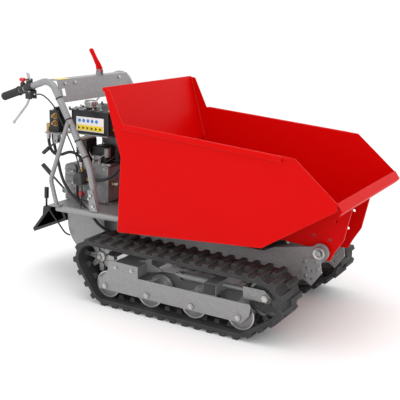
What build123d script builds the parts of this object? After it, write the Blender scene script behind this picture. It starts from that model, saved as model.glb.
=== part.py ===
"""Tracked power barrow with a hydraulic tipping skip.

Frame: +X forward (the end that tips), +Y left, +Z up, origin on the ground under the middle of the machine.
All sizes are millimetres. Outlines of flat plates are (x, z) points; their thickness runs along Y.
"""

import os
from math import atan2, cos, degrees, radians, sin, tan

from build123d import *

os.makedirs("parts", exist_ok=True)

SIDES = (("right", -1), ("left", 1))

# ---------------------------------------------------------------- driving sizes
shaft_clearance = 0.05  # radial, shaft turning in a bore
fixed_clearance = 0.2  # radial, fixed pin, bolt or tube in its hole
body_gap = 0.4  # between pieces that move past each other
side_play = 1.0  # axial play beside a turning part

# track
track_gauge = 620  # between the middles of the two tracks
track_width = 180
track_pitch = 60
belt_sections = 16
section_joint = 0.1
belt_thickness = 14
lug_height = 14
lug_base = 30
lug_tip = 20
lug_width = 100
guide_height = 18
guide_width = 12
guide_base = 26
guide_tip = 16
guide_offset = 33  # from the track's middle to the middle of a guide row

# wheels of one track
roller_radius = 60
roller_hub_radius = 38
roller_half_width = 50
roller_rim_width = 7
roller_count = 4
roller_pitch = 218
first_roller_x = -196
sprocket_teeth = 8
sprocket_radius = 69
sprocket_x = -261
sprocket_z = 194
sprocket_thickness = 22
drive_shaft_radius = 15
idler_radius = 77
idler_half_width = 25
idler_x = 553
idler_z = 176
axle_radius = 8
idler_axle_radius = 10

# track frame
beam_plate = 6
beam_low = 68
beam_high = 152
beam_outer_y = 380
beam_inner_y = 240
cross_tube_height = 48
cross_tube_wall = 5
front_tube_x = (293, 348)
rear_tube_x = (-160, -32)
tension_z = 183
tension_rod_radius = 10
tension_tube_radius = 16

# chassis
chassis_plate = 6
chassis_half_width = 130
chassis_top = 296
deck_z = 366
deck_sheet = 4
deck_half_width = 280
rail_radius = 15

# tipping
pivot_x = 689
pivot_z = 334
pivot_pin_radius = 14
cheek_half_width = 108
cheek_plate = 8
lift_anchor = (40, 175)
lift_eye = (539, 340)
lift_pin_radius = 8
lift_rod_radius = 12
lift_barrel_radius = 26
lift_bore_radius = 20
lift_lug_half_gap = 27.5

# skip
skip_half_width = 350
skip_sheet = 3
floor_rear = (-153, 331)
floor_front = (530, 381)
rear_knee = (-135, 659)
ear_top = (-221, 942)
ear_width = 28
rim_rear = (-125, 801)
rim_front = (652, 746)
lip_low = (826, 573)
lip_high = (826, 600)
lip_front = (849, 571)
hem_height = 24
hem_thickness = 4

# handlebars
bar_half_gauge = 280
bar_radius = 15
bar_wall = 2.5
bar_knee = (-353, 579)
bar_bend = (-565, 950)
bar_end = (-846, 852)
bar_bend_radius = 60
bar_knee_radius = 200
grip_radius = 18.5
grip_length = 104

# engine bay
engine_x = (-540, -365)
engine_y = (-130, 80)
engine_top = 560
gearbox_x = (-612, -546)
gearbox_y = (-140, 80)
gearbox_top = 545
shelf_z = 700
shelf_sheet = 4
tank_x = (-541, -319)
tank_y = (-180, 60)
tank_height = 102
tank_wall = 3
hose_radius = 7
cable_radius = 3


# ---------------------------------------------------------------- helpers
def span(sign, near, far):
    """Return the Y range between two distances from the middle plane, on the side of sign."""
    return tuple(sorted((sign * near, sign * far)))


def plate(points, y_range, mode=Mode.ADD):
    """Add a flat plate whose outline lies in the XZ plane."""
    with BuildSketch(Plane.XZ.offset(-y_range[1])) as outline:
        with BuildLine():
            Polyline(*points, close=True)
        make_face()
    extrude(outline.sketch, amount=y_range[1] - y_range[0], mode=mode)


def disc(centre, radius, y_range, mode=Mode.ADD):
    """Add a round bar that runs along Y."""
    with BuildSketch(Plane.XZ.offset(-y_range[1])) as outline:
        with Locations(centre):
            Circle(radius)
    extrude(outline.sketch, amount=y_range[1] - y_range[0], mode=mode)


def hexagon(centre, radius, y_range, mode=Mode.ADD):
    """Add a hexagon bar, such as a bolt's head, that runs along Y."""
    with BuildSketch(Plane.XZ.offset(-y_range[1])) as outline:
        with Locations(centre):
            RegularPolygon(radius, 6)
    extrude(outline.sketch, amount=y_range[1] - y_range[0], mode=mode)


def block(x_range, y_range, z_range, mode=Mode.ADD):
    """Add a block between two corners."""
    ranges = (x_range, y_range, z_range)
    with Locations(tuple((low + high) / 2 for low, high in ranges)):
        Box(*(high - low for low, high in ranges), mode=mode)


def rod(start, end, radius, mode=Mode.ADD):
    """Add a straight round rod between two points in space."""
    axis = Vector(*end) - Vector(*start)
    with BuildSketch(Plane(origin=start, z_dir=axis)) as section:
        Circle(radius)
    extrude(section.sketch, amount=axis.length, mode=mode)


def pipe(points, bends, radius, bore=0):
    """Add a bent tube, or a solid rod where bore is 0."""
    with BuildLine() as run:
        FilletPolyline(*points, radius=bends)
    with BuildSketch(Plane(origin=run.line @ 0, z_dir=run.line % 0)) as section:
        Circle(radius)
        if bore:
            Circle(bore, mode=Mode.SUBTRACT)
    sweep(sections=section.sketch, path=run.line)


def hose(name, points, radius):
    """Add a hose along points, with each bend as large as its runs allow, and print what it came to."""
    places = [Vector(*point) for point in points]
    bends = []
    for before, here, after in zip(places, places[1:], places[2:]):
        run_in = here - before
        run_out = after - here
        turn = radians(run_in.get_angle(run_out))
        bends.append(0.45 * min(run_in.length, run_out.length) / tan(turn / 2))
    with BuildLine() as run:
        path = FilletPolyline(*points, radius=bends)
    with BuildSketch(Plane(origin=path @ 0, z_dir=path % 0)) as section:
        Circle(radius)
    sweep(sections=section.sketch, path=run.line)
    print(name, "length", round(path.length, 1), "bends", [round(bend) for bend in bends])


def strip(start, end, thickness):
    """Outline of a sheet from start to end, with its thickness on the left of that direction."""
    run = Vector(end[0] - start[0], end[1] - start[1])
    side = Vector(-run.Y, run.X).normalized() * thickness
    return (start, end, (end[0] + side.X, end[1] + side.Y), (start[0] + side.X, start[1] + side.Y))


def folded(points, thickness):
    """Outline of a folded sheet along points, with its thickness on the left of that direction."""
    places = [Vector(*point) for point in points]
    runs = [(after - before).normalized() for before, after in zip(places, places[1:])]
    sides = [Vector(-run.Y, run.X) for run in runs]
    back = [places[0] + sides[0] * thickness]
    for place, side_in, side_out in zip(places[1:], sides, sides[1:]):
        mitre = (side_in + side_out).normalized()
        back.append(place + mitre * (thickness / mitre.dot(side_in)))
    back.append(places[-1] + sides[-1] * thickness)
    return [(place.X, place.Y) for place in places + back[::-1]]


def between(start, end, part):
    """The point at a part of the way from start to end."""
    return tuple(a + (b - a) * part for a, b in zip(start, end))


# ---------------------------------------------------------------- tracks
track_half_gauge = track_gauge / 2
roller_z = lug_height + belt_thickness + body_gap + roller_radius
roller_places = [(first_roller_x + index * roller_pitch, roller_z) for index in range(roller_count)]
wheels = (
    (sprocket_x, sprocket_z, sprocket_radius),
    (idler_x, idler_z, idler_radius),
    (*roller_places[0], roller_radius),
    (*roller_places[-1], roller_radius),
)
track_middle = Vector((sprocket_x + idler_x) / 2, 0, (roller_z + idler_z) / 2)


def belt_face(extra):
    """The face inside a band that is stretched round all the wheels, extra away from them."""
    with BuildSketch(Plane.XZ) as loop:
        with BuildLine():
            for x, z, radius in wheels:
                CenterArc((x, z), radius + extra, 0, 360)
        make_hull()
    return loop.sketch.faces()[0]


def blocks_on(wire, shift, base, tip, height):
    """Outlines of even blocks on a closed wire; a negative height makes them point inwards."""
    count = round(wire.length / track_pitch)
    step = wire.length / count
    outlines = []
    for index in range(count):
        place = (index + shift) * step
        foot = wire.position_at(place, PositionMode.LENGTH)
        along = wire.tangent_at(place, PositionMode.LENGTH)
        out = Vector(along.Z, 0, -along.X)
        if out.dot(foot - track_middle) < 0:
            out = -out
        root = foot - out * (0.2 * height)
        top = foot + out * height
        corners = (root - along * base / 2, root + along * base / 2, top + along * tip / 2, top - along * tip / 2)
        outlines.append([(corner.X, corner.Z) for corner in corners])
    return outlines


inner_face = belt_face(body_gap)
outer_face = belt_face(body_gap + belt_thickness)
outer_wire = outer_face.outer_wire()
inner_wire = inner_face.outer_wire()
block_rows = (
    (blocks_on(outer_wire, 0.0, lug_base, lug_tip, lug_height), track_width / 2 - lug_width, track_width / 2),
    (blocks_on(outer_wire, 0.5, lug_base, lug_tip, lug_height), -track_width / 2, lug_width - track_width / 2),
    (
        blocks_on(inner_wire, 0.0, guide_base, guide_tip, -guide_height),
        guide_offset - guide_width / 2,
        guide_offset + guide_width / 2,
    ),
    (
        blocks_on(inner_wire, 0.0, guide_base, guide_tip, -guide_height),
        -guide_offset - guide_width / 2,
        -guide_offset + guide_width / 2,
    ),
)

# the band is made of equal sections with hairline joints square to its run
belt_joints = []
for index in range(belt_sections):
    place = (index + 0.5) * outer_wire.length / belt_sections
    foot = outer_wire.position_at(place, PositionMode.LENGTH)
    half_joint = outer_wire.tangent_at(place, PositionMode.LENGTH) * (section_joint / 2)
    outward = Vector(half_joint.Z, 0, -half_joint.X).normalized()
    if outward.dot(foot - track_middle) < 0:
        outward = -outward
    top = foot + outward * (lug_height + 5)
    root = foot - outward * (belt_thickness + guide_height + 5)
    corners = (root - half_joint, root + half_joint, top + half_joint, top - half_joint)
    belt_joints.append([(corner.X, corner.Z) for corner in corners])

for side, sign in SIDES:
    belt_y = span(sign, track_half_gauge - track_width / 2, track_half_gauge + track_width / 2)
    with BuildPart() as track:
        with BuildSketch(Plane.XZ.offset(-belt_y[1])) as belt_section:
            add(Plane.XZ.to_local_coords(outer_face))
            add(Plane.XZ.to_local_coords(inner_face), mode=Mode.SUBTRACT)
        extrude(belt_section.sketch, amount=track_width)
        for outlines, low, high in block_rows:
            row_y = span(sign, track_half_gauge + low, track_half_gauge + high)
            with BuildSketch(Plane.XZ.offset(-row_y[1])) as row:
                for outline in outlines:
                    with BuildLine():
                        Polyline(*outline, close=True)
                    make_face()
            extrude(row.sketch, amount=row_y[1] - row_y[0])
        for joint in belt_joints:
            plate(joint, belt_y, Mode.SUBTRACT)
    track.part.label = f"track_{side}"
    export_step(track.part, f"parts/track_{side}.step")

# ---------------------------------------------------------------- wheels
for side, sign in SIDES:
    middle = sign * track_half_gauge

    with BuildPart() as sprocket:
        thickness = (middle - sprocket_thickness / 2, middle + sprocket_thickness / 2)
        with BuildSketch(Plane.XZ.offset(-thickness[1])) as star:
            with Locations((sprocket_x, sprocket_z)):
                Circle(sprocket_radius * 0.5)
                with PolarLocations(0, sprocket_teeth):
                    with Locations((sprocket_radius * 0.72, 0)):
                        Trapezoid(26, sprocket_radius * 0.555, 84, rotation=-90)
                Circle(sprocket_radius - body_gap, mode=Mode.INTERSECT)
                with PolarLocations(sprocket_radius * 0.44, 4, start_angle=20):
                    Circle(6, mode=Mode.SUBTRACT)
        extrude(star.sketch, amount=sprocket_thickness)
        disc((sprocket_x, sprocket_z), 26, (middle - 20, middle + 20))
        disc((sprocket_x, sprocket_z), drive_shaft_radius, span(sign, 40, track_half_gauge + 24))
        hexagon((sprocket_x, sprocket_z), 12, span(sign, track_half_gauge + 24, track_half_gauge + 32))
    sprocket.part.label = f"sprocket_{side}"
    export_step(sprocket.part, f"parts/sprocket_{side}.step")

    with BuildPart() as idler:
        width = (middle - idler_half_width, middle + idler_half_width)
        disc((idler_x, idler_z), idler_radius, width)
        for face_y in (span(1, width[0], width[0] + 12), span(1, width[1] - 12, width[1])):
            with BuildSketch(Plane.XZ.offset(-face_y[1])) as dish:
                with Locations((idler_x, idler_z)):
                    Circle(idler_radius - 12)
                    Circle(24, mode=Mode.SUBTRACT)
            extrude(dish.sketch, amount=12, mode=Mode.SUBTRACT)
        disc((idler_x, idler_z), idler_axle_radius + shaft_clearance, width, Mode.SUBTRACT)
    idler.part.label = f"idler_{side}"
    export_step(idler.part, f"parts/idler_{side}.step")

    for number, place in enumerate(roller_places, 1):
        with BuildPart() as roller:
            disc(place, roller_hub_radius, (middle - roller_half_width, middle + roller_half_width))
            for edge in (-1, 1):
                rim_y = span(1, middle + edge * (roller_half_width - roller_rim_width), middle + edge * roller_half_width)
                flange_y = span(1, middle + edge * 40, middle + edge * (roller_half_width - roller_rim_width))
                recess_y = span(1, middle + edge * (roller_half_width - 5), middle + edge * roller_half_width)
                disc(place, roller_radius, rim_y)
                disc(place, roller_radius - 5, flange_y)
                with BuildSketch(Plane.XZ.offset(-recess_y[1])) as recess:
                    with Locations(place):
                        Circle(roller_radius - 6)
                        Circle(18, mode=Mode.SUBTRACT)
                extrude(recess.sketch, amount=5, mode=Mode.SUBTRACT)
            bore_y = (middle - roller_half_width, middle + roller_half_width)
            disc(place, axle_radius + shaft_clearance, bore_y, Mode.SUBTRACT)
            for edge in (-1, 1):
                joint_y = span(1, middle + edge * 40, middle + edge * (40 - section_joint))
                disc(place, roller_radius, joint_y, Mode.SUBTRACT)
        roller.part.label = f"roller_{side}_{number}"
        export_step(roller.part, f"parts/roller_{side}_{number}.step")

# the fixed axles of rollers and idlers
fork_half_gap = idler_half_width + side_play
fork_plate = 6
with BuildPart() as track_axles:
    for side, sign in SIDES:
        for place in roller_places:
            disc(place, axle_radius, span(sign, beam_inner_y - 10, beam_outer_y + 12))
            hexagon(place, 13, span(sign, beam_outer_y, beam_outer_y + 8))
            hexagon(place, 13, span(sign, beam_inner_y - 8, beam_inner_y))
            roller_inner = track_half_gauge - roller_half_width
            roller_outer = track_half_gauge + roller_half_width
            disc(place, 14, span(sign, beam_inner_y + beam_plate, roller_inner - side_play))
            disc(place, 14, span(sign, roller_outer + side_play, beam_outer_y - beam_plate))
        idler_place = (idler_x, idler_z)
        fork_outer = fork_half_gap + fork_plate
        axle_y = span(sign, track_half_gauge - fork_outer - 10, track_half_gauge + fork_outer + 10)
        disc(idler_place, idler_axle_radius, axle_y)
        for edge in (-1, 1):
            near = track_half_gauge + edge * fork_outer
            hexagon(idler_place, 15, span(sign, near, near + edge * 7))
track_axles.part.label = "track_axles"
export_step(track_axles.part, "parts/track_axles.step")

# ---------------------------------------------------------------- track frames
sprocket_room = sprocket_radius + 13
for side, sign in SIDES:
    with BuildPart() as beam:
        outer_y = span(sign, beam_outer_y - beam_plate, beam_outer_y)
        inner_y = span(sign, beam_inner_y, beam_inner_y + beam_plate)
        last_roller_x = roller_places[-1][0]
        outer_outline = (
            (first_roller_x - 36, beam_low + 2),
            (last_roller_x + 14, beam_low),
            (last_roller_x + 46, beam_low + 36),
            (last_roller_x + 52, beam_low + 72),
            (last_roller_x + 46, beam_high),
            (rear_tube_x[1] + 5, beam_high),
            (rear_tube_x[1] + 5, beam_high + 52),
            (rear_tube_x[0] - 15, beam_high + 56),
            (first_roller_x - 36, beam_high - 2),
        )
        plate(outer_outline, outer_y)
        disc((sprocket_x, sprocket_z), sprocket_room, outer_y, Mode.SUBTRACT)
        inner_outline = (
            (first_roller_x - 36, beam_low + 2),
            (last_roller_x + 40, beam_low),
            (last_roller_x + 40, beam_high),
            (first_roller_x - 20, beam_high),
            (first_roller_x - 36, beam_high - 30),
        )
        plate(inner_outline, inner_y)
        for place in roller_places:
            for y_range in (outer_y, inner_y):
                disc(place, axle_radius + fixed_clearance, y_range, Mode.SUBTRACT)
        for hole_x in (rear_tube_x[0] + 20, rear_tube_x[1] - 25):
            disc((hole_x, beam_high + 30), 5, outer_y, Mode.SUBTRACT)
    beam.part.label = f"track_beam_{side}"
    export_step(beam.part, f"parts/track_beam_{side}.step")

fork_x = (455, idler_x)
fork_half_height = 25
with BuildPart() as track_tensioners:
    for side, sign in SIDES:
        middle = sign * track_half_gauge
        for edge in (-1, 1):
            cheek_y = span(1, middle + edge * fork_half_gap, middle + edge * (fork_half_gap + fork_plate))
            cheek = (
                (fork_x[0], tension_z - fork_half_height),
                (fork_x[0], tension_z + fork_half_height),
                (fork_x[1] - 4, tension_z + fork_half_height),
                (fork_x[1] + 20, idler_z + 8),
                (fork_x[1] + 6, idler_z - fork_half_height + 7),
            )
            plate(cheek, cheek_y)
            disc((idler_x, idler_z), idler_axle_radius + fixed_clearance, cheek_y, Mode.SUBTRACT)
        back_z = (tension_z - fork_half_height, tension_z + fork_half_height)
        block((fork_x[0], fork_x[0] + 14), (middle - fork_half_gap, middle + fork_half_gap), back_z)
        rod((fork_x[0], middle, tension_z), (131, middle, tension_z), tension_rod_radius)
        for nut_x in (139, 151):
            with BuildSketch(Plane.YZ.offset(nut_x)) as nut:
                with Locations((middle, tension_z)):
                    RegularPolygon(16, 6)
            extrude(nut.sketch, amount=9)
        tube_start = (front_tube_x[0], middle, tension_z)
        tube_end = (163, middle, tension_z)
        with BuildSketch(Plane(origin=tube_end, z_dir=(1, 0, 0))) as sleeve:
            Circle(tension_tube_radius)
            Circle(tension_rod_radius + fixed_clearance, mode=Mode.SUBTRACT)
        extrude(sleeve.sketch, amount=tube_start[0] - tube_end[0])
track_tensioners.part.label = "track_tensioners"
export_step(track_tensioners.part, "parts/track_tensioners.step")

# ---------------------------------------------------------------- chassis
cross_top = beam_high + cross_tube_height
axle_tube_radius = 30
bracket_plate = 6
bracket_holes = ((655, 252), (655, 216))
bracket_hole_radius = 5.5
with BuildPart() as chassis_frame:
    side_outline = (
        (-560, deck_z),
        (-235, deck_z),
        (-205, chassis_top),
        (440, chassis_top),
        (485, chassis_top + 24),
        (pivot_x - 10, pivot_z + 24),
        (pivot_x + 18, pivot_z - 28),
        (640, 214),
        (600, cross_top),
        (-190, cross_top),
        (-190, 148),
        (-330, 148),
        (-560, 330),
    )
    for side, sign in SIDES:
        plate_y = span(sign, chassis_half_width - chassis_plate, chassis_half_width)
        plate(side_outline, plate_y)
        disc((pivot_x, pivot_z), 36, plate_y)
        bracket_y = span(sign, chassis_half_width, chassis_half_width + bracket_plate)
        bracket = ((628, 302), (692, 304), (701, 247), (659, 188), (611, 221), (621, 279))
        plate(bracket, bracket_y)
        through_y = span(sign, chassis_half_width - chassis_plate, chassis_half_width + bracket_plate)
        for hole in bracket_holes:
            disc(hole, bracket_hole_radius, through_y, Mode.SUBTRACT)
        disc((pivot_x, pivot_z), pivot_pin_radius + fixed_clearance, plate_y, Mode.SUBTRACT)
        disc((sprocket_x, sprocket_z), axle_tube_radius + fixed_clearance, plate_y, Mode.SUBTRACT)
        lug_y = span(sign, lift_lug_half_gap, lift_lug_half_gap + 8)
        lug = (
            (rear_tube_x[1], cross_top - 4),
            (lift_anchor[0], cross_top - 2),
            (lift_anchor[0] + 22, lift_anchor[1] + 4),
            (lift_anchor[0] + 12, beam_high + 3),
            (rear_tube_x[1], beam_high + 3),
        )
        plate(lug, lug_y)
        disc(lift_anchor, lift_pin_radius + fixed_clearance, lug_y, Mode.SUBTRACT)
        gusset_y = span(sign, track_half_gauge - 14, track_half_gauge - 8)
        gusset = (
            (rear_tube_x[1], beam_high + 6),
            (rear_tube_x[1], cross_top),
            (rear_tube_x[1] - 46, cross_top),
            (rear_tube_x[1] + 23, cross_top + 24),
            (rear_tube_x[1] + 23, cross_top - 2),
            (rear_tube_x[1] + 77, cross_top - 18),
            (rear_tube_x[1] + 77, cross_top - 26),
        )
        plate(gusset, gusset_y)
    for tube_x in (front_tube_x, rear_tube_x):
        reach = beam_outer_y - beam_plate - 1
        inside_x = (tube_x[0] + cross_tube_wall, tube_x[1] - cross_tube_wall)
        inside_z = (beam_high + cross_tube_wall, cross_top - cross_tube_wall)
        block(tube_x, (-reach, reach), (beam_high, cross_top))
        block(inside_x, (-reach, reach), inside_z, Mode.SUBTRACT)
    for side, sign in SIDES:
        start = (front_tube_x[0] - 1, sign * track_half_gauge, tension_z)
        end = (front_tube_x[1] + 1, sign * track_half_gauge, tension_z)
        rod(start, end, tension_rod_radius + fixed_clearance, Mode.SUBTRACT)
    inner_half = chassis_half_width - chassis_plate
    disc((600, 238), 16, (-inner_half, inner_half))
    block((-420, -380), (-inner_half, inner_half), (deck_z - 24, deck_z))
    block((390, 420), (-inner_half, inner_half), (cross_top + 2, cross_top + 22))
chassis_frame.part.label = "chassis_frame"
export_step(chassis_frame.part, "parts/chassis_frame.step")

with BuildPart() as pivot_pins:
    for side, sign in SIDES:
        disc((pivot_x, pivot_z), pivot_pin_radius, span(sign, cheek_half_width - cheek_plate - 4, chassis_half_width))
        disc((pivot_x, pivot_z), 22, span(sign, chassis_half_width, chassis_half_width + 20))
        hexagon((pivot_x, pivot_z), 11, span(sign, chassis_half_width + 20, chassis_half_width + 26))
    anchor_half = lift_lug_half_gap + 8
    disc(lift_anchor, lift_pin_radius, (-anchor_half - 4, anchor_half + 4))
    disc(lift_anchor, 13, (anchor_half, anchor_half + 5))
    disc(lift_anchor, 13, (-anchor_half - 5, -anchor_half))
pivot_pins.part.label = "pivot_pins"
export_step(pivot_pins.part, "parts/pivot_pins.step")

# ---------------------------------------------------------------- skip
with BuildPart() as skip_tub:
    inner_half = skip_half_width - skip_sheet
    ear_inner = (ear_top[0] + ear_width, ear_top[1] - 4)
    side_panel = (floor_rear, rear_knee, ear_top, ear_inner, rim_rear, rim_front, lip_high, lip_low, floor_front)
    for side, sign in SIDES:
        plate(side_panel, span(sign, inner_half, skip_half_width))
        hem_y = span(sign, skip_half_width, skip_half_width + hem_thickness)
        hem_start = between(rim_rear, rim_front, 0.02)
        hem_end = between(rim_rear, rim_front, 0.93)
        hem = (hem_start, hem_end, (hem_end[0], hem_end[1] - hem_height), (hem_start[0], hem_start[1] - hem_height))
        plate(hem, hem_y)
    full_width = (-skip_half_width, skip_half_width)
    plate(folded((ear_top, rear_knee, floor_rear, floor_front, lip_low), skip_sheet), full_width)
    lip = (
        (lip_low[0] - skip_sheet, lip_low[1] - 2),
        (lip_high[0] - skip_sheet, lip_high[1] + 1),
        (lip_high[0] + 1, lip_high[1] + 4),
        (lip_front[0] + 1, lip_front[1] + 1),
        (lip_front[0] - 11, lip_front[1] - 15),
        (lip_front[0] - 13.5, lip_front[1] - 12.5),
        (lip_front[0] - 4, lip_front[1] + 0.5),
        (lip_high[0], lip_high[1] - 2),
        lip_low,
    )
    plate(lip, full_width)
skip_tub.part.label = "skip_tub"
export_step(skip_tub.part, "parts/skip_tub.step")

with BuildPart() as skip_subframe:
    floor_run = (floor_front[0] - floor_rear[0], floor_front[1] - floor_rear[1])
    rail_start = between(floor_rear, floor_front, 0.03)
    slope_end = between(floor_front, lip_low, 0.91)
    cheek_outline = (
        rail_start,
        floor_front,
        slope_end,
        (slope_end[0] + 3, slope_end[1] - 24),
        (pivot_x + 86, pivot_z + 59),
        (pivot_x + 50, pivot_z - 2),
        (pivot_x + 34, pivot_z - 36),
        (pivot_x + 4, pivot_z - 38),
        (pivot_x - 30, pivot_z - 14),
        (pivot_x - 50, pivot_z + 8),
        (480, 352),
        (rail_start[0], rail_start[1] - 26),
    )
    inner_cheek = cheek_half_width - cheek_plate
    for side, sign in SIDES:
        cheek_y = span(sign, inner_cheek, cheek_half_width)
        plate(cheek_outline, cheek_y)
        disc((pivot_x, pivot_z), pivot_pin_radius + shaft_clearance, cheek_y, Mode.SUBTRACT)
        for hole in ((pivot_x + 50, pivot_z + 131), (pivot_x + 29, pivot_z + 51), (pivot_x - 40, pivot_z + 60)):
            disc(hole, 6.5, cheek_y, Mode.SUBTRACT)
        ear_y = span(sign, 23, 29)
        ear_front = between(floor_front, lip_low, 0.14)
        ear = ((497, 378.5), floor_front, ear_front, (lift_eye[0] + 20, lift_eye[1] - 14), (lift_eye[0] - 20, lift_eye[1] - 14))
        plate(ear, ear_y)
        disc(lift_eye, lift_pin_radius + 2, ear_y, Mode.SUBTRACT)
    for part in (0.05, 0.45, 0.88):
        foot = between(floor_rear, floor_front, part)
        far = (foot[0] + 24, foot[1] + 24 * floor_run[1] / floor_run[0])
        rib = (foot, far, (far[0], far[1] - 18), (foot[0], foot[1] - 18))
        plate(rib, (-inner_cheek, inner_cheek))
    plate(((497, 378.5), (503, 379), (503, 358), (497, 358)), (-inner_cheek, inner_cheek))
skip_subframe.part.label = "skip_subframe"
export_step(skip_subframe.part, "parts/skip_subframe.step")

# ---------------------------------------------------------------- tip cylinder
lift_run = (lift_eye[0] - lift_anchor[0], lift_eye[1] - lift_anchor[1])
lift_tilt = atan2(lift_run[1], lift_run[0])
lift_length = (lift_run[0] ** 2 + lift_run[1] ** 2) ** 0.5
barrel_start = 22
barrel_end = lift_length - 55


def on_lift(distance):
    """The point on the cylinder's axis at a distance from the rear pin."""
    return (lift_anchor[0] + distance * cos(lift_tilt), 0, lift_anchor[1] + distance * sin(lift_tilt))


with BuildPart() as lift_barrel:
    disc(lift_anchor, 22, (-24, 24))
    rod(on_lift(16), on_lift(barrel_end), lift_barrel_radius)
    rod(on_lift(38), on_lift(barrel_end - 24), lift_bore_radius, Mode.SUBTRACT)
    rod(on_lift(barrel_end - 25), on_lift(barrel_end + 1), lift_rod_radius + shaft_clearance, Mode.SUBTRACT)
    disc(lift_anchor, lift_pin_radius + shaft_clearance, (-24, 24), Mode.SUBTRACT)
    port = on_lift(barrel_start + 50)
    rod((port[0], lift_barrel_radius - 4, port[2]), (port[0], lift_barrel_radius + 12, port[2]), 9)
lift_barrel.part.label = "lift_barrel"
export_step(lift_barrel.part, "parts/lift_barrel.step")

with BuildPart() as lift_rod:
    rod(on_lift(60), on_lift(lift_length - 10), lift_rod_radius)
    rod(on_lift(46), on_lift(66), lift_bore_radius - shaft_clearance)
    disc(lift_eye, 19, (-20, 20))
    disc(lift_eye, lift_pin_radius, (-22, 22), Mode.SUBTRACT)
    disc(lift_eye, lift_pin_radius, (-20, 20))
lift_rod.part.label = "lift_rod"
export_step(lift_rod.part, "parts/lift_rod.step")

# ---------------------------------------------------------------- deck, guards and step
hose_slot_x = (-468, -396)
hose_slot_y = (-226, -178)
deck_rear = -600
with BuildPart() as platform:
    block((deck_rear, -230), (-deck_half_width, deck_half_width), (deck_z, deck_z + deck_sheet))
    block(hose_slot_x, hose_slot_y, (deck_z, deck_z + deck_sheet), Mode.SUBTRACT)
    rail_y = deck_half_width + rail_radius - 4
    rail_z = deck_z + deck_sheet / 2
    for side, sign in SIDES:
        rod((-533, sign * rail_y, rail_z), (floor_rear[0] - 8, sign * rail_y, rail_z), rail_radius)
platform.part.label = "platform"
export_step(platform.part, "parts/platform.step")

guard_half_width = 180
guard_sheet = 4
guard_rear = -566
with BuildPart() as guard_plates:
    for side, sign in SIDES:
        guard_y = span(sign, guard_half_width - guard_sheet, guard_half_width)
        with BuildSketch(Plane.XZ.offset(-guard_y[1])) as guard:
            with BuildLine():
                Polyline((guard_rear, deck_z), (guard_rear, 132), (-352, 132), (-352, deck_z), close=True)
            make_face()
            fillet(guard.vertices().sort_by(Axis.X)[:2].sort_by(Axis.Z)[0], 140)
            fillet(guard.vertices().sort_by(Axis.X)[-2:].sort_by(Axis.Z)[0], 40)
        extrude(guard.sketch, amount=guard_sheet)
guard_plates.part.label = "guard_plates"
export_step(guard_plates.part, "parts/guard_plates.step")

step_half_width = 190
step_sheet = 4
step_flange = 13
range_pivot = (-724, 312)
lever_pin_radius = 4
lever_y = -150
with BuildPart() as rear_step:
    step_outline = ((deck_rear, deck_z), (-668, 340), (-779, 206), (-770, 192), (-625, 255), (guard_rear - 1, 280))
    with BuildSketch(Plane.XZ.offset(-step_half_width)) as step_loop:
        with BuildLine():
            Polyline(*step_outline, close=True)
        make_face()
        offset(amount=-step_sheet, mode=Mode.SUBTRACT)
    extrude(step_loop.sketch, amount=2 * step_half_width)
    for side, sign in SIDES:
        flange_y = span(sign, step_half_width - step_sheet, step_half_width)
        with BuildSketch(Plane.XZ.offset(-flange_y[1])) as flange:
            with BuildLine():
                Polyline(*step_outline, close=True)
            make_face()
            offset(amount=-step_flange, mode=Mode.SUBTRACT)
        extrude(flange.sketch, amount=step_sheet)
    for edge in (-1, 1):
        ear_y = span(1, lever_y + edge * 8, lever_y + edge * 12)
        ear = ((-690, 312), (-716, 322), (-732, 320), (-736, 304), (-742, 252), (-700, 302))
        plate(ear, ear_y)
        disc(range_pivot, lever_pin_radius + shaft_clearance, ear_y, Mode.SUBTRACT)
rear_step.part.label = "rear_step"
export_step(rear_step.part, "parts/rear_step.step")

# ---------------------------------------------------------------- handlebars
bar_foot = (-319, rail_z + rail_radius + 3)
bar_run = Vector(bar_end[0] - bar_bend[0], 0, bar_end[1] - bar_bend[1]).normalized()


def on_bar(distance, sign, below=0.0):
    """A point on the upper handlebar run, at a distance from its rear end and below its axis."""
    across = Vector(-bar_run.Z, 0, bar_run.X)
    place = Vector(bar_end[0], 0, bar_end[1]) - bar_run * distance + across * below
    return (place.X, sign * bar_half_gauge, place.Z)


for side, sign in SIDES:
    with BuildPart() as handlebar:
        y = sign * bar_half_gauge
        corners = [(x, y, z) for x, z in (bar_foot, bar_knee, bar_bend, bar_end)]
        pipe(corners, (bar_knee_radius, bar_bend_radius), bar_radius, bar_radius - bar_wall)
    handlebar.part.label = f"handlebar_{side}"
    export_step(handlebar.part, f"parts/handlebar_{side}.step")

with BuildPart() as grips:
    for side, sign in SIDES:
        rod(on_bar(-4, sign), on_bar(grip_length, sign), grip_radius)
        rod(on_bar(0, sign), on_bar(grip_length + 1, sign), bar_radius + shaft_clearance, Mode.SUBTRACT)
grips.part.label = "grips"
export_step(grips.part, "parts/grips.step")

bar_outer_y = bar_half_gauge + bar_radius
support_plate = 6
stay_radius = 10
stay_y = bar_outer_y + fixed_clearance + stay_radius
with BuildPart() as handle_supports:
    for side, sign in SIDES:
        support = ((-352, 478), (-323, 480), (-298, 384), (-341, 384))
        plate(support, span(sign, bar_outer_y, bar_outer_y + support_plate))
        foot_z = rail_z + rail_radius
        block((-548, -504), span(sign, 284, 318), (foot_z, foot_z + 5))
        stay = [(x, sign * stay_y, z) for x, z in ((-452, 768), (-557, 499), (-526, foot_z + 4))]
        pipe(stay, 60, stay_radius)
handle_supports.part.label = "handle_supports"
export_step(handle_supports.part, "parts/handle_supports.step")

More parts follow.
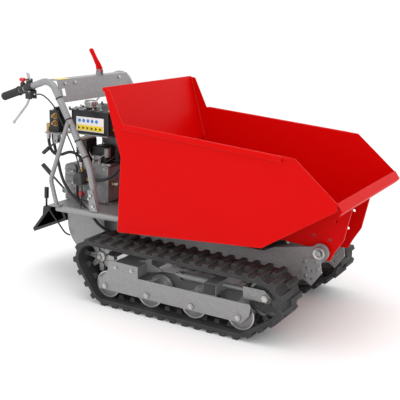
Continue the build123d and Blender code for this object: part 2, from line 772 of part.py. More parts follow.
# ---------------------------------------------------------------- console and shelf
console_half_width = bar_half_gauge - bar_radius - fixed_clearance
console_low = (-515, 848)
console_high = (-541, 947)
console_back = (-592, 947)
console_sheet = 4
tip_pivot = (-548, 966)
tip_lever_y = 52
with BuildPart() as console:
    width = (-console_half_width, console_half_width)
    plate(strip(console_low, console_high, console_sheet), width)
    plate(strip(console_high, console_back, console_sheet), width)
    cut_y = span(-1, console_half_width - 18, console_half_width - 42)
    block((-560, -520), cut_y, (876, 908), Mode.SUBTRACT)
    block((-560, -500), span(1, console_half_width - 60, console_half_width + 1), (840, 880), Mode.SUBTRACT)
    for edge in (-1, 1):
        ear_y = span(1, tip_lever_y + edge * 9, tip_lever_y + edge * 13)
        plate(((-562, 947), (-534, 947), (-538, 975), (-558, 975)), ear_y)
        disc(tip_pivot, lever_pin_radius + shaft_clearance, ear_y, Mode.SUBTRACT)
console.part.label = "console"
export_step(console.part, "parts/console.step")

shelf_bar_x = (-437, -407)
drive_pivot = (-572, 668)
drive_lever_y = -238
with BuildPart() as tank_shelf:
    shelf_top = shelf_z + shelf_sheet
    reach = bar_half_gauge - bar_radius + 5
    block(shelf_bar_x, (-reach, reach), (shelf_z - 8, shelf_z))
    for side, sign in SIDES:
        bar_start = (bar_knee[0], sign * bar_half_gauge, bar_knee[1])
        bar_stop = (bar_bend[0], sign * bar_half_gauge, bar_bend[1])
        rod(bar_start, bar_stop, bar_radius + fixed_clearance, Mode.SUBTRACT)
    block((-535, -325), (-190, 240), (shelf_z, shelf_top))
    block((-632, -535), (-255, -150), (shelf_z, shelf_top))
    for edge in (-1, 1):
        ear_y = span(1, drive_lever_y + edge * 8, drive_lever_y + edge * 12)
        plate(((-586, shelf_z), (-558, shelf_z), (-562, 657), (-582, 657)), ear_y)
        disc(drive_pivot, lever_pin_radius + shaft_clearance, ear_y, Mode.SUBTRACT)
tank_shelf.part.label = "tank_shelf"
export_step(tank_shelf.part, "parts/tank_shelf.step")

# ---------------------------------------------------------------- tanks and hydraulics
tank_bottom = shelf_z + shelf_sheet
tank_top = tank_bottom + tank_height
cap_place = (-468, -118)
neck_radius = 20
with BuildPart() as hydraulic_tank:
    lid = 6
    lid_edge = 9
    block(tank_x, tank_y, (tank_bottom, tank_top))
    fillet(hydraulic_tank.edges().filter_by(Axis.Z), 16)
    inside_x = (tank_x[0] + tank_wall, tank_x[1] - tank_wall)
    inside_y = (tank_y[0] + tank_wall, tank_y[1] - tank_wall)
    block(inside_x, inside_y, (tank_bottom + tank_wall, tank_top), Mode.SUBTRACT)
    lid_x = (tank_x[0] - lid_edge, tank_x[1] + lid_edge)
    lid_y = (tank_y[0] - lid_edge, tank_y[1] + lid_edge)
    lid_middle = ((lid_x[0] + lid_x[1]) / 2, (lid_y[0] + lid_y[1]) / 2)
    with BuildSketch(Plane.XY.offset(tank_top)) as lid_outline:
        with Locations(lid_middle):
            RectangleRounded(lid_x[1] - lid_x[0], lid_y[1] - lid_y[0], 20)
    extrude(lid_outline.sketch, amount=lid)
    with Locations((*cap_place, tank_top + lid + 4)):
        Cylinder(neck_radius, 8)
        Cylinder(neck_radius - 4 + shaft_clearance, 9, mode=Mode.SUBTRACT)
    with Locations((*lid_middle, tank_top + lid + 2)):
        with GridLocations((lid_x[1] - lid_x[0] - 16) / 5, lid_y[1] - lid_y[0] - 16, 6, 2):
            Cylinder(5, 5)
        with GridLocations(lid_x[1] - lid_x[0] - 16, (lid_y[1] - lid_y[0] - 16) / 5, 2, 4):
            Cylinder(5, 5)
hydraulic_tank.part.label = "hydraulic_tank"
export_step(hydraulic_tank.part, "parts/hydraulic_tank.step")

with BuildPart() as tank_cap:
    with Locations((*cap_place, tank_top + lid + 8 + body_gap + 9)):
        Cylinder(neck_radius + 4, 18)
    fillet(tank_cap.edges().sort_by(Axis.Z)[-1], 4)
    with Locations((*cap_place, tank_top + lid + 5)):
        Cylinder(neck_radius - 4, 8)
tank_cap.part.label = "tank_cap"
export_step(tank_cap.part, "parts/tank_cap.step")

with BuildPart() as fuel_tank:
    block((-520, -345), (84, 232), (tank_bottom, tank_bottom + 84))
    fillet(fuel_tank.edges().filter_by(Axis.Z), 24)
    fillet(fuel_tank.edges().group_by(Axis.Z)[-1], 14)
    with Locations((-440, 158, tank_bottom + 84 + 9)):
        Cylinder(24, 20)
fuel_tank.part.label = "fuel_tank"
export_step(fuel_tank.part, "parts/fuel_tank.step")

valve_x = (-628, -572)
valve_y = (-225, -165)
with BuildPart() as valve_block:
    block(valve_x, valve_y, (tank_bottom, tank_bottom + 98))
    chamfer(valve_block.edges().filter_by(Axis.Z), 3)
    for spool_y in (-210, -182):
        with Locations((-600, spool_y, tank_bottom + 98 + 7)):
            Cylinder(10, 16)
valve_block.part.label = "valve_block"
export_step(valve_block.part, "parts/valve_block.step")

engine_cover = 6
pump_centre = (-492, 490)
pump_y = (-190, engine_y[0] - engine_cover)
pump_port_y = -165
with BuildPart() as hydraulic_pump:
    disc(pump_centre, 38, (pump_y[1] - 9, pump_y[1]))
    disc(pump_centre, 31, pump_y)
    for angle in (30, 150, 270):
        bolt = (pump_centre[0] + 22 * cos(radians(angle)), pump_centre[1] + 22 * sin(radians(angle)))
        hexagon(bolt, 6, (pump_y[0] - 5, pump_y[0]))
hydraulic_pump.part.label = "hydraulic_pump"
export_step(hydraulic_pump.part, "parts/hydraulic_pump.step")

fitting_radius = 9
lift_port = (-646, -182, 742)
pressure_port = (-646, -210, 692)
pump_top_port = (pump_centre[0], pump_port_y, pump_centre[1] + 52)
pump_front_port = (pump_centre[0] + 48, pump_port_y, pump_centre[1])
tank_low_port = (tank_x[1] + 16, -150, 732)
tank_high_port = (tank_x[1] + 16, -100, 764)
engine_port = (engine_x[1] + 16, -104, 470)
chassis_port = (-256, -170, 254)
chassis_elbow_x = -232
with BuildPart() as hose_fittings:
    for port, level in ((lift_port, 764), (pressure_port, 730)):
        rod((valve_x[0], port[1], level), (port[0], port[1], level), fitting_radius)
        rod((port[0], port[1], level + fitting_radius), port, fitting_radius)
    rod((pump_centre[0], pump_port_y, pump_centre[1] + 31), pump_top_port, fitting_radius)
    rod((pump_centre[0] + 31, pump_port_y, pump_centre[1]), pump_front_port, fitting_radius)
    for port in (tank_low_port, tank_high_port):
        rod((tank_x[1], port[1], port[2]), port, fitting_radius)
    rod((engine_x[1], engine_port[1], engine_port[2]), engine_port, fitting_radius)
    elbow = (chassis_elbow_x, chassis_port[1], chassis_port[2])
    rod((chassis_elbow_x, -chassis_half_width, chassis_port[2]), elbow, fitting_radius)
    rod((chassis_elbow_x + fitting_radius, chassis_port[1], chassis_port[2]), chassis_port, fitting_radius)
hose_fittings.part.label = "hose_fittings"
export_step(hose_fittings.part, "parts/hose_fittings.step")

hose_routes = {
    "pressure_hose": (
        pressure_port,
        (pressure_port[0], pressure_port[1], 652),
        (-632, -213, 616),
        (-606, -215, 598),
        (-574, -210, 598),
        (-528, -190, 618),
        (pump_top_port[0], pump_top_port[1], 588),
        pump_top_port,
    ),
    "lift_hose": (
        lift_port,
        (lift_port[0], lift_port[1], 698),
        (-639, -185, 652),
        (-622, -190, 606),
        (-602, -198, 560),
        (-583, -206, 512),
        (-560, -210, 466),
        (-526, -209, 424),
        (-482, -204, 390),
        (-438, -201, 361),
        (-405, -200, 330),
        (-376, -199, 297),
        (-340, -190, 272),
        (chassis_port[0] - 44, chassis_port[1], chassis_port[2]),
        chassis_port,
    ),
    "suction_hose": (
        tank_low_port,
        (tank_low_port[0] + 40, tank_low_port[1], tank_low_port[2]),
        (-236, -152, 707),
        (-228, -157, 664),
        (-240, -164, 614),
        (-270, -168, 566),
        (-306, -170, 527),
        (-352, -168, 501),
        (-400, pump_front_port[1], pump_front_port[2]),
        pump_front_port,
    ),
    "breather_hose": (
        tank_high_port,
        (tank_high_port[0] + 42, tank_high_port[1], tank_high_port[2]),
        (-232, -103, 740),
        (-219, -109, 694),
        (-226, -113, 636),
        (-238, -112, 582),
        (-260, -109, 532),
        (-283, -106, 494),
        (engine_port[0] + 36, engine_port[1], engine_port[2]),
        engine_port,
    ),
}
for name, route in hose_routes.items():
    with BuildPart() as hydraulic_hose:
        hose(name, route, hose_radius)
    hydraulic_hose.part.label = name
    export_step(hydraulic_hose.part, f"parts/{name}.step")

# ---------------------------------------------------------------- engine and gearbox
with BuildPart() as engine_block:
    block(engine_x, engine_y, (deck_z + deck_sheet + 6, engine_top))
    fillet(engine_block.edges().filter_by(Axis.Y), 18)
    for foot_y in (engine_y[0] + 12, engine_y[1] - 40):
        block((engine_x[0] - 4, engine_x[1] + 14), (foot_y, foot_y + 28), (deck_z + deck_sheet, deck_z + deck_sheet + 10))
    disc(pump_centre, 46, (engine_y[0] - engine_cover, engine_y[0] + 2))
engine_block.part.label = "engine_block"
export_step(engine_block.part, "parts/engine_block.step")

head_x = (-470, engine_x[1])
head_y = (-50, 66)
fin_count = 7
fin_pitch = 11
with BuildPart() as cylinder_head:
    block((head_x[0] + 12, head_x[1] - 12), (head_y[0] + 12, head_y[1] - 12), (engine_top, engine_top + 84))
    for index in range(fin_count):
        level = engine_top + 6 + index * fin_pitch
        block(head_x, head_y, (level, level + 4))
    block((head_x[0] + 6, head_x[1] - 6), (head_y[0] + 6, head_y[1] - 6), (engine_top + 84, engine_top + 112))
cylinder_head.part.label = "cylinder_head"
export_step(cylinder_head.part, "parts/cylinder_head.step")

with BuildPart() as recoil_starter:
    disc(pump_centre, 84, (engine_y[1], engine_y[1] + 34))
    disc(pump_centre, 60, (engine_y[1] + 34, engine_y[1] + 48))
    block((pump_centre[0] - 12, pump_centre[0] + 12), (engine_y[1] + 6, engine_y[1] + 30), (pump_centre[1] + 70, pump_centre[1] + 104))
recoil_starter.part.label = "recoil_starter"
export_step(recoil_starter.part, "parts/recoil_starter.step")

with BuildPart() as muffler:
    block((engine_x[1], engine_x[1] + 92), (-34, 108), (engine_top - 20, engine_top + 76))
    fillet(muffler.edges().filter_by(Axis.Y), 22)
    rod((engine_x[1] + 62, 108, engine_top + 30), (engine_x[1] + 62, 134, engine_top + 30), 12)
muffler.part.label = "muffler"
export_step(muffler.part, "parts/muffler.step")

with BuildPart() as air_cleaner:
    block((-512, -476), (-128, -96), (engine_top, 600))
    block((-532, -472), (-150, -74), (600, 676))
    fillet(air_cleaner.edges().group_by(Axis.Z)[-1], 10)
air_cleaner.part.label = "air_cleaner"
export_step(air_cleaner.part, "parts/air_cleaner.step")

gear_pivot = (-626, 405)
gear_lever_y = -122
drive_half_width = 58
with BuildPart() as gearbox_case:
    block(gearbox_x, gearbox_y, (deck_z + deck_sheet, gearbox_top))
    fillet(gearbox_case.edges().filter_by(Axis.Y).group_by(Axis.Z)[-1], 24)
    for index in range(5):
        level = deck_z + 26 + index * 30
        block((gearbox_x[0] - 5, gearbox_x[0]), (gearbox_y[0] + 8, gearbox_y[1] - 8), (level, level + 6))
        block((gearbox_x[0] + 8, gearbox_x[1] - 8), (gearbox_y[0] - 5, gearbox_y[0]), (level, level + 6))
    for edge in (-1, 1):
        ear_y = span(1, gear_lever_y + edge * 8, gear_lever_y + edge * 12)
        plate(((gearbox_x[0] + 1, 392), (gearbox_x[0] + 1, 418), (-636, 414), (-636, 396)), ear_y)
        disc(gear_pivot, lever_pin_radius + shaft_clearance, ear_y, Mode.SUBTRACT)
    drive_y = (-drive_half_width, drive_half_width)
    plate(((-372, deck_z - 26), (-290, deck_z - 26), (-214, 214), (-226, 154), (-300, 154)), drive_y)
    plate(((-372, deck_z), (-290, deck_z), (-290, deck_z - 27), (-372, deck_z - 27)), drive_y)
    disc((sprocket_x, sprocket_z), 56, drive_y)
    for side, sign in SIDES:
        tube_end = track_half_gauge - 25
        disc((sprocket_x, sprocket_z), axle_tube_radius, span(sign, drive_half_width - 2, tube_end))
        bore_y = span(sign, 36, tube_end)
        disc((sprocket_x, sprocket_z), drive_shaft_radius + shaft_clearance, bore_y, Mode.SUBTRACT)
gearbox_case.part.label = "gearbox_case"
export_step(gearbox_case.part, "parts/gearbox_case.step")

# ---------------------------------------------------------------- hand controls
squeeze_pin_radius = 3
throttle_pin_radius = 2.5
squeeze_distance = 158
squeeze_drop = 38
squeeze_pivot = on_bar(squeeze_distance, 1, squeeze_drop)
throttle_distance = 150
switch_distance = 122
with BuildPart() as lever_mounts:
    for side, sign in SIDES:
        y = sign * bar_half_gauge
        rod(on_bar(squeeze_distance - 13, sign), on_bar(squeeze_distance + 13, sign), bar_radius + 6)
        mount_x = (squeeze_pivot[0] - 10, squeeze_pivot[0] + 10)
        for edge in (-1, 1):
            cheek_y = span(1, y + edge * 7, y + edge * 11)
            block(mount_x, cheek_y, (squeeze_pivot[2] - 9, squeeze_pivot[2] + 30))
            disc((squeeze_pivot[0], squeeze_pivot[2]), squeeze_pin_radius + shaft_clearance, cheek_y, Mode.SUBTRACT)
        if sign < 0:
            rod(on_bar(throttle_distance + 34, sign), on_bar(throttle_distance + 16, sign), bar_radius + 5)
            top = on_bar(throttle_distance + 25, sign, -bar_radius - 14)
            for edge in (-1, 1):
                ear_y = span(1, y + edge * 8, y + edge * 12)
                block((top[0] - 9, top[0] + 9), ear_y, (top[2] - 14, top[2] + 7))
                disc((top[0], top[2]), throttle_pin_radius + shaft_clearance, ear_y, Mode.SUBTRACT)
            rod(on_bar(switch_distance - 9, sign), on_bar(switch_distance + 9, sign), bar_radius + 5)
            seat = on_bar(switch_distance, sign)
            with Locations((seat[0], y, seat[2] + bar_radius + 10)):
                Cylinder(11, 14)
                Cylinder(7 + shaft_clearance, 15, mode=Mode.SUBTRACT)
        rod(on_bar(90, sign), on_bar(230, sign), bar_radius + shaft_clearance, Mode.SUBTRACT)
lever_mounts.part.label = "lever_mounts"
export_step(lever_mounts.part, "parts/lever_mounts.step")

squeeze_tip = (-792, 738)
for side, sign in SIDES:
    with BuildPart() as squeeze_lever:
        y = sign * bar_half_gauge
        hub = (squeeze_pivot[0], squeeze_pivot[2])
        disc(hub, 9, (y - 6, y + 6))
        arm = ((hub[0] - 4, y, hub[1] - 4), (hub[0] - 26, y, hub[1] - 44), (squeeze_tip[0], y, squeeze_tip[1]))
        pipe(arm, 60, 5)
        with Locations((squeeze_tip[0], y, squeeze_tip[1])):
            Sphere(8)
        disc(hub, squeeze_pin_radius, (y - 11, y + 11))
    squeeze_lever.part.label = f"squeeze_lever_{side}"
    export_step(squeeze_lever.part, f"parts/squeeze_lever_{side}.step")

throttle_pivot = on_bar(throttle_distance + 25, -1, -bar_radius - 14)
with BuildPart() as throttle_lever:
    y = -bar_half_gauge
    disc((throttle_pivot[0], throttle_pivot[2]), 6, (y - 7, y + 7))
    tip = (throttle_pivot[0] - 10, throttle_pivot[2] + 30)
    shape = (
        (throttle_pivot[0] - 5, throttle_pivot[2]),
        (throttle_pivot[0] + 5, throttle_pivot[2]),
        (tip[0] + 6, tip[1]),
        (tip[0] - 4, tip[1] + 3),
    )
    plate(shape, (y - 5, y + 5))
    disc((throttle_pivot[0], throttle_pivot[2]), throttle_pin_radius, (y - 12, y + 12))
throttle_lever.part.label = "throttle_lever"
export_step(throttle_lever.part, "parts/throttle_lever.step")

with BuildPart() as stop_switch:
    seat = on_bar(switch_distance, -1)
    with Locations((seat[0], -bar_half_gauge, seat[2] + bar_radius + 17)):
        Cylinder(7, 16)
stop_switch.part.label = "stop_switch"
export_step(stop_switch.part, "parts/stop_switch.step")


def hand_lever(pivot, y, tip, grip_part, grip_size, rod_size):
    """Add a lever: a hub on its pin, a round arm and a thicker grip over the last part of it."""
    disc(pivot, 9, (y - 7, y + 7))
    rod((pivot[0], y, pivot[1]), (tip[0], y, tip[1]), rod_size)
    grip_start = between(pivot, tip, grip_part)
    rod((grip_start[0], y, grip_start[1]), (tip[0], y, tip[1]), grip_size)
    disc(pivot, lever_pin_radius, (y - 12, y + 12))


levers = {
    "tip_lever": (tip_pivot, tip_lever_y, (-601, 1068), 0.12, 7, 5),
    "gear_lever": (gear_pivot, gear_lever_y, (-764, 514), 0.58, 11, 5),
    "range_lever": (range_pivot, lever_y, (-719, 412), 0.48, 11, 5),
    "drive_lever": (drive_pivot, drive_lever_y, (-656, 602), 0.6, 9, 4),
}
for name, sizes in levers.items():
    with BuildPart() as lever:
        hand_lever(*sizes)
    lever.part.label = name
    export_step(lever.part, f"parts/{name}.step")

with BuildPart() as control_cables:
    for side, sign in SIDES:
        y = sign * (bar_half_gauge - bar_radius - 8)
        start = on_bar(squeeze_distance + 14, sign, 34)
        route = (
            (start[0] + 14, sign * bar_half_gauge, start[2]),
            (start[0] + 46, sign * (bar_half_gauge - 8), start[2] + 2),
            (-606, y, 858),
            (-566, y + sign * 1, 826),
            (-538, y, 776),
            (-508, y + sign * 1, 728),
            (-478, y, 674),
            (-449, y + sign * 1, 620),
            (-428, y, 562),
            (-420, y - sign * 2, 504),
            (-424, y - sign * 8, 448),
            (-434, y - sign * 12, 404),
            (-434, y - sign * 12, deck_z + deck_sheet),
        )
        hose(f"cable_{side}", route, cable_radius)
control_cables.part.label = "control_cables"
export_step(control_cables.part, "parts/control_cables.step")

# ---------------------------------------------------------------- bolts
with BuildPart() as frame_bolts:
    for side, sign in SIDES:
        head_y = bar_outer_y + support_plate
        for place in ((-334, 456), (-322, 408)):
            hexagon(place, 8, span(sign, head_y, head_y + 6))
        for place in ((-247, 338), (-234, 306)):
            hexagon(place, 9, span(sign, chassis_half_width, chassis_half_width + 7))
    for bolt_y in (-220, -150, 190):
        place = between(console_low, console_high, 0.82)
        start = Vector(place[0], bolt_y, place[1])
        out = Vector(console_high[1] - console_low[1], 0, console_low[0] - console_high[0]).normalized()
        end = start + out * 6
        rod(tuple(start), tuple(end), 7)
frame_bolts.part.label = "frame_bolts"
export_step(frame_bolts.part, "parts/frame_bolts.step")
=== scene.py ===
# %% [markdown]
# # A tracked power barrow, finished in Blender
# The frame, the skip, the wheels and the levers come from CAD, at their real sizes. This lesson gives each of them a
# painted, cast or moulded finish, and adds the small pieces that a machine like this carries: weld beads, bolt
# heads, hose ends, clips, grips, labels and covers. The scene is in metres, in the frame of the CAD model. Sizes and
# places that go through the helper at() are in millimetres, as on a drawing.

# %% Load the frame
from math import atan2, cos, pi, radians, sin

import bmesh
import bpy
from mathutils import Matrix, Vector
from mathutils.kdtree import KDTree


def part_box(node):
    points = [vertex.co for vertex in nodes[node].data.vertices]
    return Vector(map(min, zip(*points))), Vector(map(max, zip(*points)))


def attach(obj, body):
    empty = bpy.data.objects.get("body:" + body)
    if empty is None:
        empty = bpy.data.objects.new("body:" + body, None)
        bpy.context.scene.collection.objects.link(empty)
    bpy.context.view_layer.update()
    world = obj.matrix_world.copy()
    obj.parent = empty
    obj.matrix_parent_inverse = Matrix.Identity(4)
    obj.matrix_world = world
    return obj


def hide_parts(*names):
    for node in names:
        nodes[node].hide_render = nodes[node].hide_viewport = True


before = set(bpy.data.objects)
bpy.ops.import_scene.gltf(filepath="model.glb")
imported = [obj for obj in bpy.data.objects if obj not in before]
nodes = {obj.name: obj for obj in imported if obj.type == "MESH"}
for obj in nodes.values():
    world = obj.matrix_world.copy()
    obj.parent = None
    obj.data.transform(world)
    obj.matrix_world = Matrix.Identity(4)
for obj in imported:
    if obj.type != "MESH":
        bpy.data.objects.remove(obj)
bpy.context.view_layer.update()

# %% [markdown]
# ## Camera
# A long lens keeps the sides of the skip nearly parallel, as in a catalogue. A camera can be turned with three
# angles, but here its rotation is built from the direction it looks in, so that a small roll can be added about that
# direction alone.


# %% Camera
def stand(name, data):
    """Put a new object that shows the data into the scene."""
    made = bpy.data.objects.new(name, data)
    bpy.context.scene.collection.objects.link(made)
    return made


camera_place = Vector((1.773, -2.985, 1.303))
camera_azimuth = radians(29.98)
camera_pitch = radians(14.21)
camera_roll = radians(1.32)
camera_lens = 70.9

flat = cos(camera_pitch)
ahead = Vector((-sin(camera_azimuth) * flat, cos(camera_azimuth) * flat, -sin(camera_pitch)))
level = Vector((cos(camera_azimuth), sin(camera_azimuth), 0))
upright = level.cross(ahead)
camera_right = level * cos(camera_roll) + upright * sin(camera_roll)
camera_up = upright * cos(camera_roll) - level * sin(camera_roll)
camera_data = bpy.data.cameras.new("camera")
camera_data.lens = camera_lens
camera_data.sensor_width = 36
camera_data.clip_end = 100
camera = stand("camera", camera_data)
turn = Matrix((camera_right, camera_up, -ahead)).transposed().to_4x4()
camera.matrix_world = Matrix.Translation(camera_place) @ turn
bpy.context.scene.camera = camera
print("camera at", tuple(camera_place))

# %% [markdown]
# ## Lights
# A large soft light overhead and three weaker ones round the machine model the sheet metal without hard shadows.
# Each is a square area light that is aimed at a point, which is easier to adjust than its angles. A nearly white
# world fills in the rest, as the walls of a studio do.


# %% Lights and world
def soft_light(name, place, target, size, power):
    """A square area light that faces its target."""
    data = bpy.data.lights.new(name, "AREA")
    data.size = size
    data.energy = power
    light = stand(name, data)
    aim = (Vector(target) - Vector(place)).to_track_quat("-Z", "Y").to_matrix().to_4x4()
    light.matrix_world = Matrix.Translation(place) @ aim


soft_light("light_overhead", (0.2, -0.4, 4.2), (0, 0, 0.3), 3.0, 40)
soft_light("light_front", (1.6, -4.6, 2.4), (0, 0, 0.5), 2.0, 26)
soft_light("light_rear", (-3.6, -2.6, 2.4), (-0.4, 0, 0.6), 2.0, 14)
soft_light("light_far", (0.5, 4.0, 2.6), (0, 0, 0.5), 2.6, 12)
bpy.context.scene.view_settings.view_transform = "Standard"

world = bpy.data.worlds.new("studio")
bpy.context.scene.world = world
world.use_nodes = True
world.node_tree.nodes["Background"].inputs["Color"].default_value = (1, 1, 1, 1)
world.node_tree.nodes["Background"].inputs["Strength"].default_value = 1.06
print("lights", len(bpy.data.lights))

# %% [markdown]
# ## Writing materials as Python
# A material is a graph of nodes. Long graphs are easier to read as arithmetic, so one small class wraps a node's
# socket and turns +, -, * and ** into Math nodes. A second class holds one material and has a single method that
# makes any other node. Every finish below is then a few lines long.


# %% Socket arithmetic
class Value:
    """A number on a node's socket. Arithmetic on it adds Math nodes."""

    def __init__(self, finish, socket):
        self.finish = finish
        self.socket = socket

    def maths(self, operation, *values, clamp=False):
        settings = {"operation": operation, "use_clamp": clamp}
        return self.finish.node("ShaderNodeMath", settings, dict(enumerate(values)))

    def __add__(self, other):
        return self.maths("ADD", self, other)

    def __radd__(self, other):
        return self.maths("ADD", other, self)

    def __sub__(self, other):
        return self.maths("SUBTRACT", self, other)

    def __rsub__(self, other):
        return self.maths("SUBTRACT", other, self)

    def __mul__(self, other):
        return self.maths("MULTIPLY", self, other)

    def __rmul__(self, other):
        return self.maths("MULTIPLY", other, self)

    def __pow__(self, other):
        return self.maths("POWER", self, other)

    def __rpow__(self, other):
        return self.maths("POWER", other, self)

    def wave(self):
        return self.maths("SINE", self)

    def clamped(self):
        return self.maths("ADD", self, 0.0, clamp=True)

    def above(self, low, high):
        """0 below low, 1 above high, and a straight ramp between them."""
        return self.maths("MULTIPLY", self - low, 1 / (high - low), clamp=True)


class Finish:
    """One material and the nodes in it."""

    def __init__(self, name, **fixed):
        self.material = bpy.data.materials.new(name)
        self.material.use_nodes = True
        self.tree = self.material.node_tree
        self.shader = self.tree.nodes["Principled BSDF"]
        for socket, value in fixed.items():
            self.shader.inputs[socket.replace("_", " ")].default_value = value
        self.place = self.node("ShaderNodeTexCoord", output="Object")

    def link(self, value, socket):
        if isinstance(value, Value):
            self.tree.links.new(value.socket, socket)
        else:
            socket.default_value = value

    def node(self, kind, settings=None, inputs=None, output=0):
        """Make any node: settings first, then the values or links of its sockets. Returns one output."""
        made = self.tree.nodes.new(kind)
        for name, value in (settings or {}).items():
            setattr(made, name, value)
        for name, value in (inputs or {}).items():
            self.link(value, made.inputs[name])
        return Value(self, made.outputs[output])

    def noise(self, scale, detail=3.0, rough=0.5, place=None):
        inputs = {"Vector": place or self.place, "Scale": scale, "Detail": detail, "Roughness": rough}
        return self.node("ShaderNodeTexNoise", {}, inputs)

    def mapped(self, scale=(1, 1, 1), move=(0, 0, 0)):
        """The object's coordinates, scaled and moved."""
        return self.node("ShaderNodeMapping", {}, {"Vector": self.place, "Location": move, "Scale": scale})

    def parts(self, place):
        """The x, y and z of a place, as three numbers."""
        split = self.node("ShaderNodeSeparateXYZ", {}, {"Vector": place})
        return [Value(self, socket) for socket in split.socket.node.outputs]

    def colour(self, value):
        return value if isinstance(value, Value) else (*value, 1)

    def mix(self, share, first, second):
        """A colour between two others. Sockets 6 and 7 are the node's two colours."""
        inputs = {0: share, 6: self.colour(first), 7: self.colour(second)}
        return self.node("ShaderNodeMix", {"data_type": "RGBA"}, inputs, output=2)

    def rounded(self, radius):
        """The normal that the surface would have if its edges had this radius."""
        return self.node("ShaderNodeBevel", {"samples": 6}, {"Radius": radius})

    def edges(self, radius):
        """1 along sharp edges, fading to 0 a radius away."""
        plain = self.node("ShaderNodeNewGeometry", output="True Normal")
        inputs = {0: self.rounded(radius), 1: plain}
        alike = self.node("ShaderNodeVectorMath", {"operation": "DOT_PRODUCT"}, inputs, output="Value")
        return (1 - alike).above(0.01, 0.22)

    def bump(self, height, distance, strength, rounding):
        inputs = {"Height": height, "Distance": distance, "Strength": strength}
        inputs["Normal"] = self.rounded(rounding)
        return self.node("ShaderNodeBump", {}, inputs)

    def set(self, **sockets):
        for name, value in sockets.items():
            self.link(value, self.shader.inputs[name.replace("_", " ")])
        return self.material


def toned(colour, factor, lift=0.0):
    """A brighter or darker tone of a colour, held below white."""
    return [min(1, channel * factor + lift) for channel in colour]


print("material tools ready")

# %% [markdown]
# ## Paint
# The skip and the frames are powder coated. Such paint has a faint orange-peel surface, its gloss wanders a little
# from place to place, and dust settles near the ground. Sharp edges are painted lighter, partly as wear of a thin
# coat and partly as a painted highlight. A bevel node rounds the edges in the shading, because no sheet that was cut
# and coated has a knife edge.

# %% Paint finishes
ground_dust = (0.23, 0.19, 0.15)


def paint(
    name, colour, edge_wear_and_highlight_colour, gloss=0.3, coat=0.25, dust=0.35, shine=0.3, fleck=0.0, metal=0.0
):
    """Powder coat. Dust lies below knee height, flecks are metal grains in the coat."""
    finish = Finish(name, Coat_Roughness=0.12, Specular_IOR_Level=shine, Metallic=metal)
    orange_peel = finish.noise(260, 2)
    cloud = finish.noise(2.6, 4, 0.55)
    fine = finish.noise(34, 5, 0.6)
    height = finish.parts(finish.place)[2]
    low = (1 - height.above(0.02, 0.42)) * fine.above(0.35, 0.75) * dust
    # Edges are mixed towards a lighter colour, partly as wear of a thin coat and partly as a painted highlight.
    wear_and_highlight = finish.edges(0.0016) * fine.above(0.22, 0.55)
    base = finish.mix(cloud * 0.3, colour, toned(colour, 0.8))
    speckle = finish.noise(150, 4, 0.7).above(0.44, 0.68) * fleck
    base = finish.mix(speckle, base, toned(colour, 1.9))
    base = finish.mix(wear_and_highlight * 0.7, base, edge_wear_and_highlight_colour)
    base = finish.mix(low, base, ground_dust)
    rough = gloss + cloud * 0.1 + fine * 0.08 + low * 0.5
    normal = finish.bump(orange_peel, 0.00012, 0.6, 0.0014)
    return finish.set(Base_Color=base, Roughness=rough, Normal=normal, Coat_Weight=(1 - low) * coat)


# The pale edge colours are partly wear and partly a painted highlight along rims and folds.
red_paint = paint(
    "red_powder_coat", (0.62, 0.0004, 0.0003), (0.90, 0.20, 0.16),
    gloss=0.36, coat=0.015, dust=0.08, shine=0.07,
)
grey_paint = paint(
    "grey_powder_coat", (0.27, 0.274, 0.28), (0.62, 0.62, 0.62),
    gloss=0.36, coat=0.08, fleck=0.32, metal=0.35,
)
black_paint = paint("black_enamel", (0.012, 0.012, 0.013), (0.07, 0.07, 0.07), dust=0.2)
print("paints made")

# %% [markdown]
# ## Rubber and plastic
# Track rubber is matt and greyed by dust, and the corners of its tread are painted lighter, partly as rubbed wear and
# partly as a painted highlight. Hoses and grips are darker and smoother. Moulded plastic has a very fine grain and a
# sheen that varies a little. Label film is the same plastic with almost no grain.


# %% Rubber and plastic finishes
def rubber(name, colour, dust_and_highlight, grain, rough, dust):
    finish = Finish(name)
    fine = finish.noise(160, 6, 0.65)
    cloud = finish.noise(9, 4, 0.6)
    # Corners are painted lighter, partly as rubbed wear and partly as a painted highlight.
    edge = finish.edges(0.004)
    share = (cloud.above(0.35, 0.75) * dust + edge * 0.8 + fine.above(0.5, 0.8) * 0.2).clamped()
    base = finish.mix(share, colour, dust_and_highlight)
    normal = finish.bump(fine, grain, 0.7, 0.002)
    return finish.set(Base_Color=base, Roughness=rough + cloud * 0.16, Normal=normal)


track_rubber = rubber("track_rubber", (0.012, 0.012, 0.0125), (0.10, 0.10, 0.098), 0.0007, 0.66, 0.28)
hose_rubber = rubber("hose_rubber", (0.010, 0.010, 0.011), (0.05, 0.05, 0.05), 0.0002, 0.42, 0.25)
grip_rubber = rubber("grip_rubber", (0.012, 0.012, 0.012), (0.05, 0.05, 0.05), 0.0003, 0.6, 0.3)


def plastic(name, colour, rough, grain=0.0001):
    finish = Finish(name)
    fine = finish.noise(520, 2)
    cloud = finish.noise(14, 3)
    base = finish.mix(finish.edges(0.001) * 0.35 + cloud * 0.12, colour, toned(colour, 1.6, 0.05))
    normal = finish.bump(fine, grain, 0.5, 0.0008)
    return finish.set(Base_Color=base, Roughness=rough + cloud * 0.12, Normal=normal)


black_plastic = plastic("black_plastic", (0.014, 0.014, 0.014), 0.45)
red_plastic = plastic("red_plastic", (0.62, 0.01, 0.02), 0.25, 0.00003)
label_white = plastic("label_film_white", (0.80, 0.80, 0.78), 0.3, 0.00002)
label_yellow = plastic("label_film_yellow", (0.85, 0.62, 0.02), 0.3, 0.00002)
label_blue = plastic("label_film_blue", (0.03, 0.20, 0.62), 0.3, 0.00002)
print("rubber and plastic made")

# %% [markdown]
# ## Metals
# Castings keep the grain of the sand they were poured in, and oil and dirt lie in patches on them. Plated and drawn
# metal has fine streaks along one axis. Turned faces show rings round their axle, which are a sine of the distance
# from it.


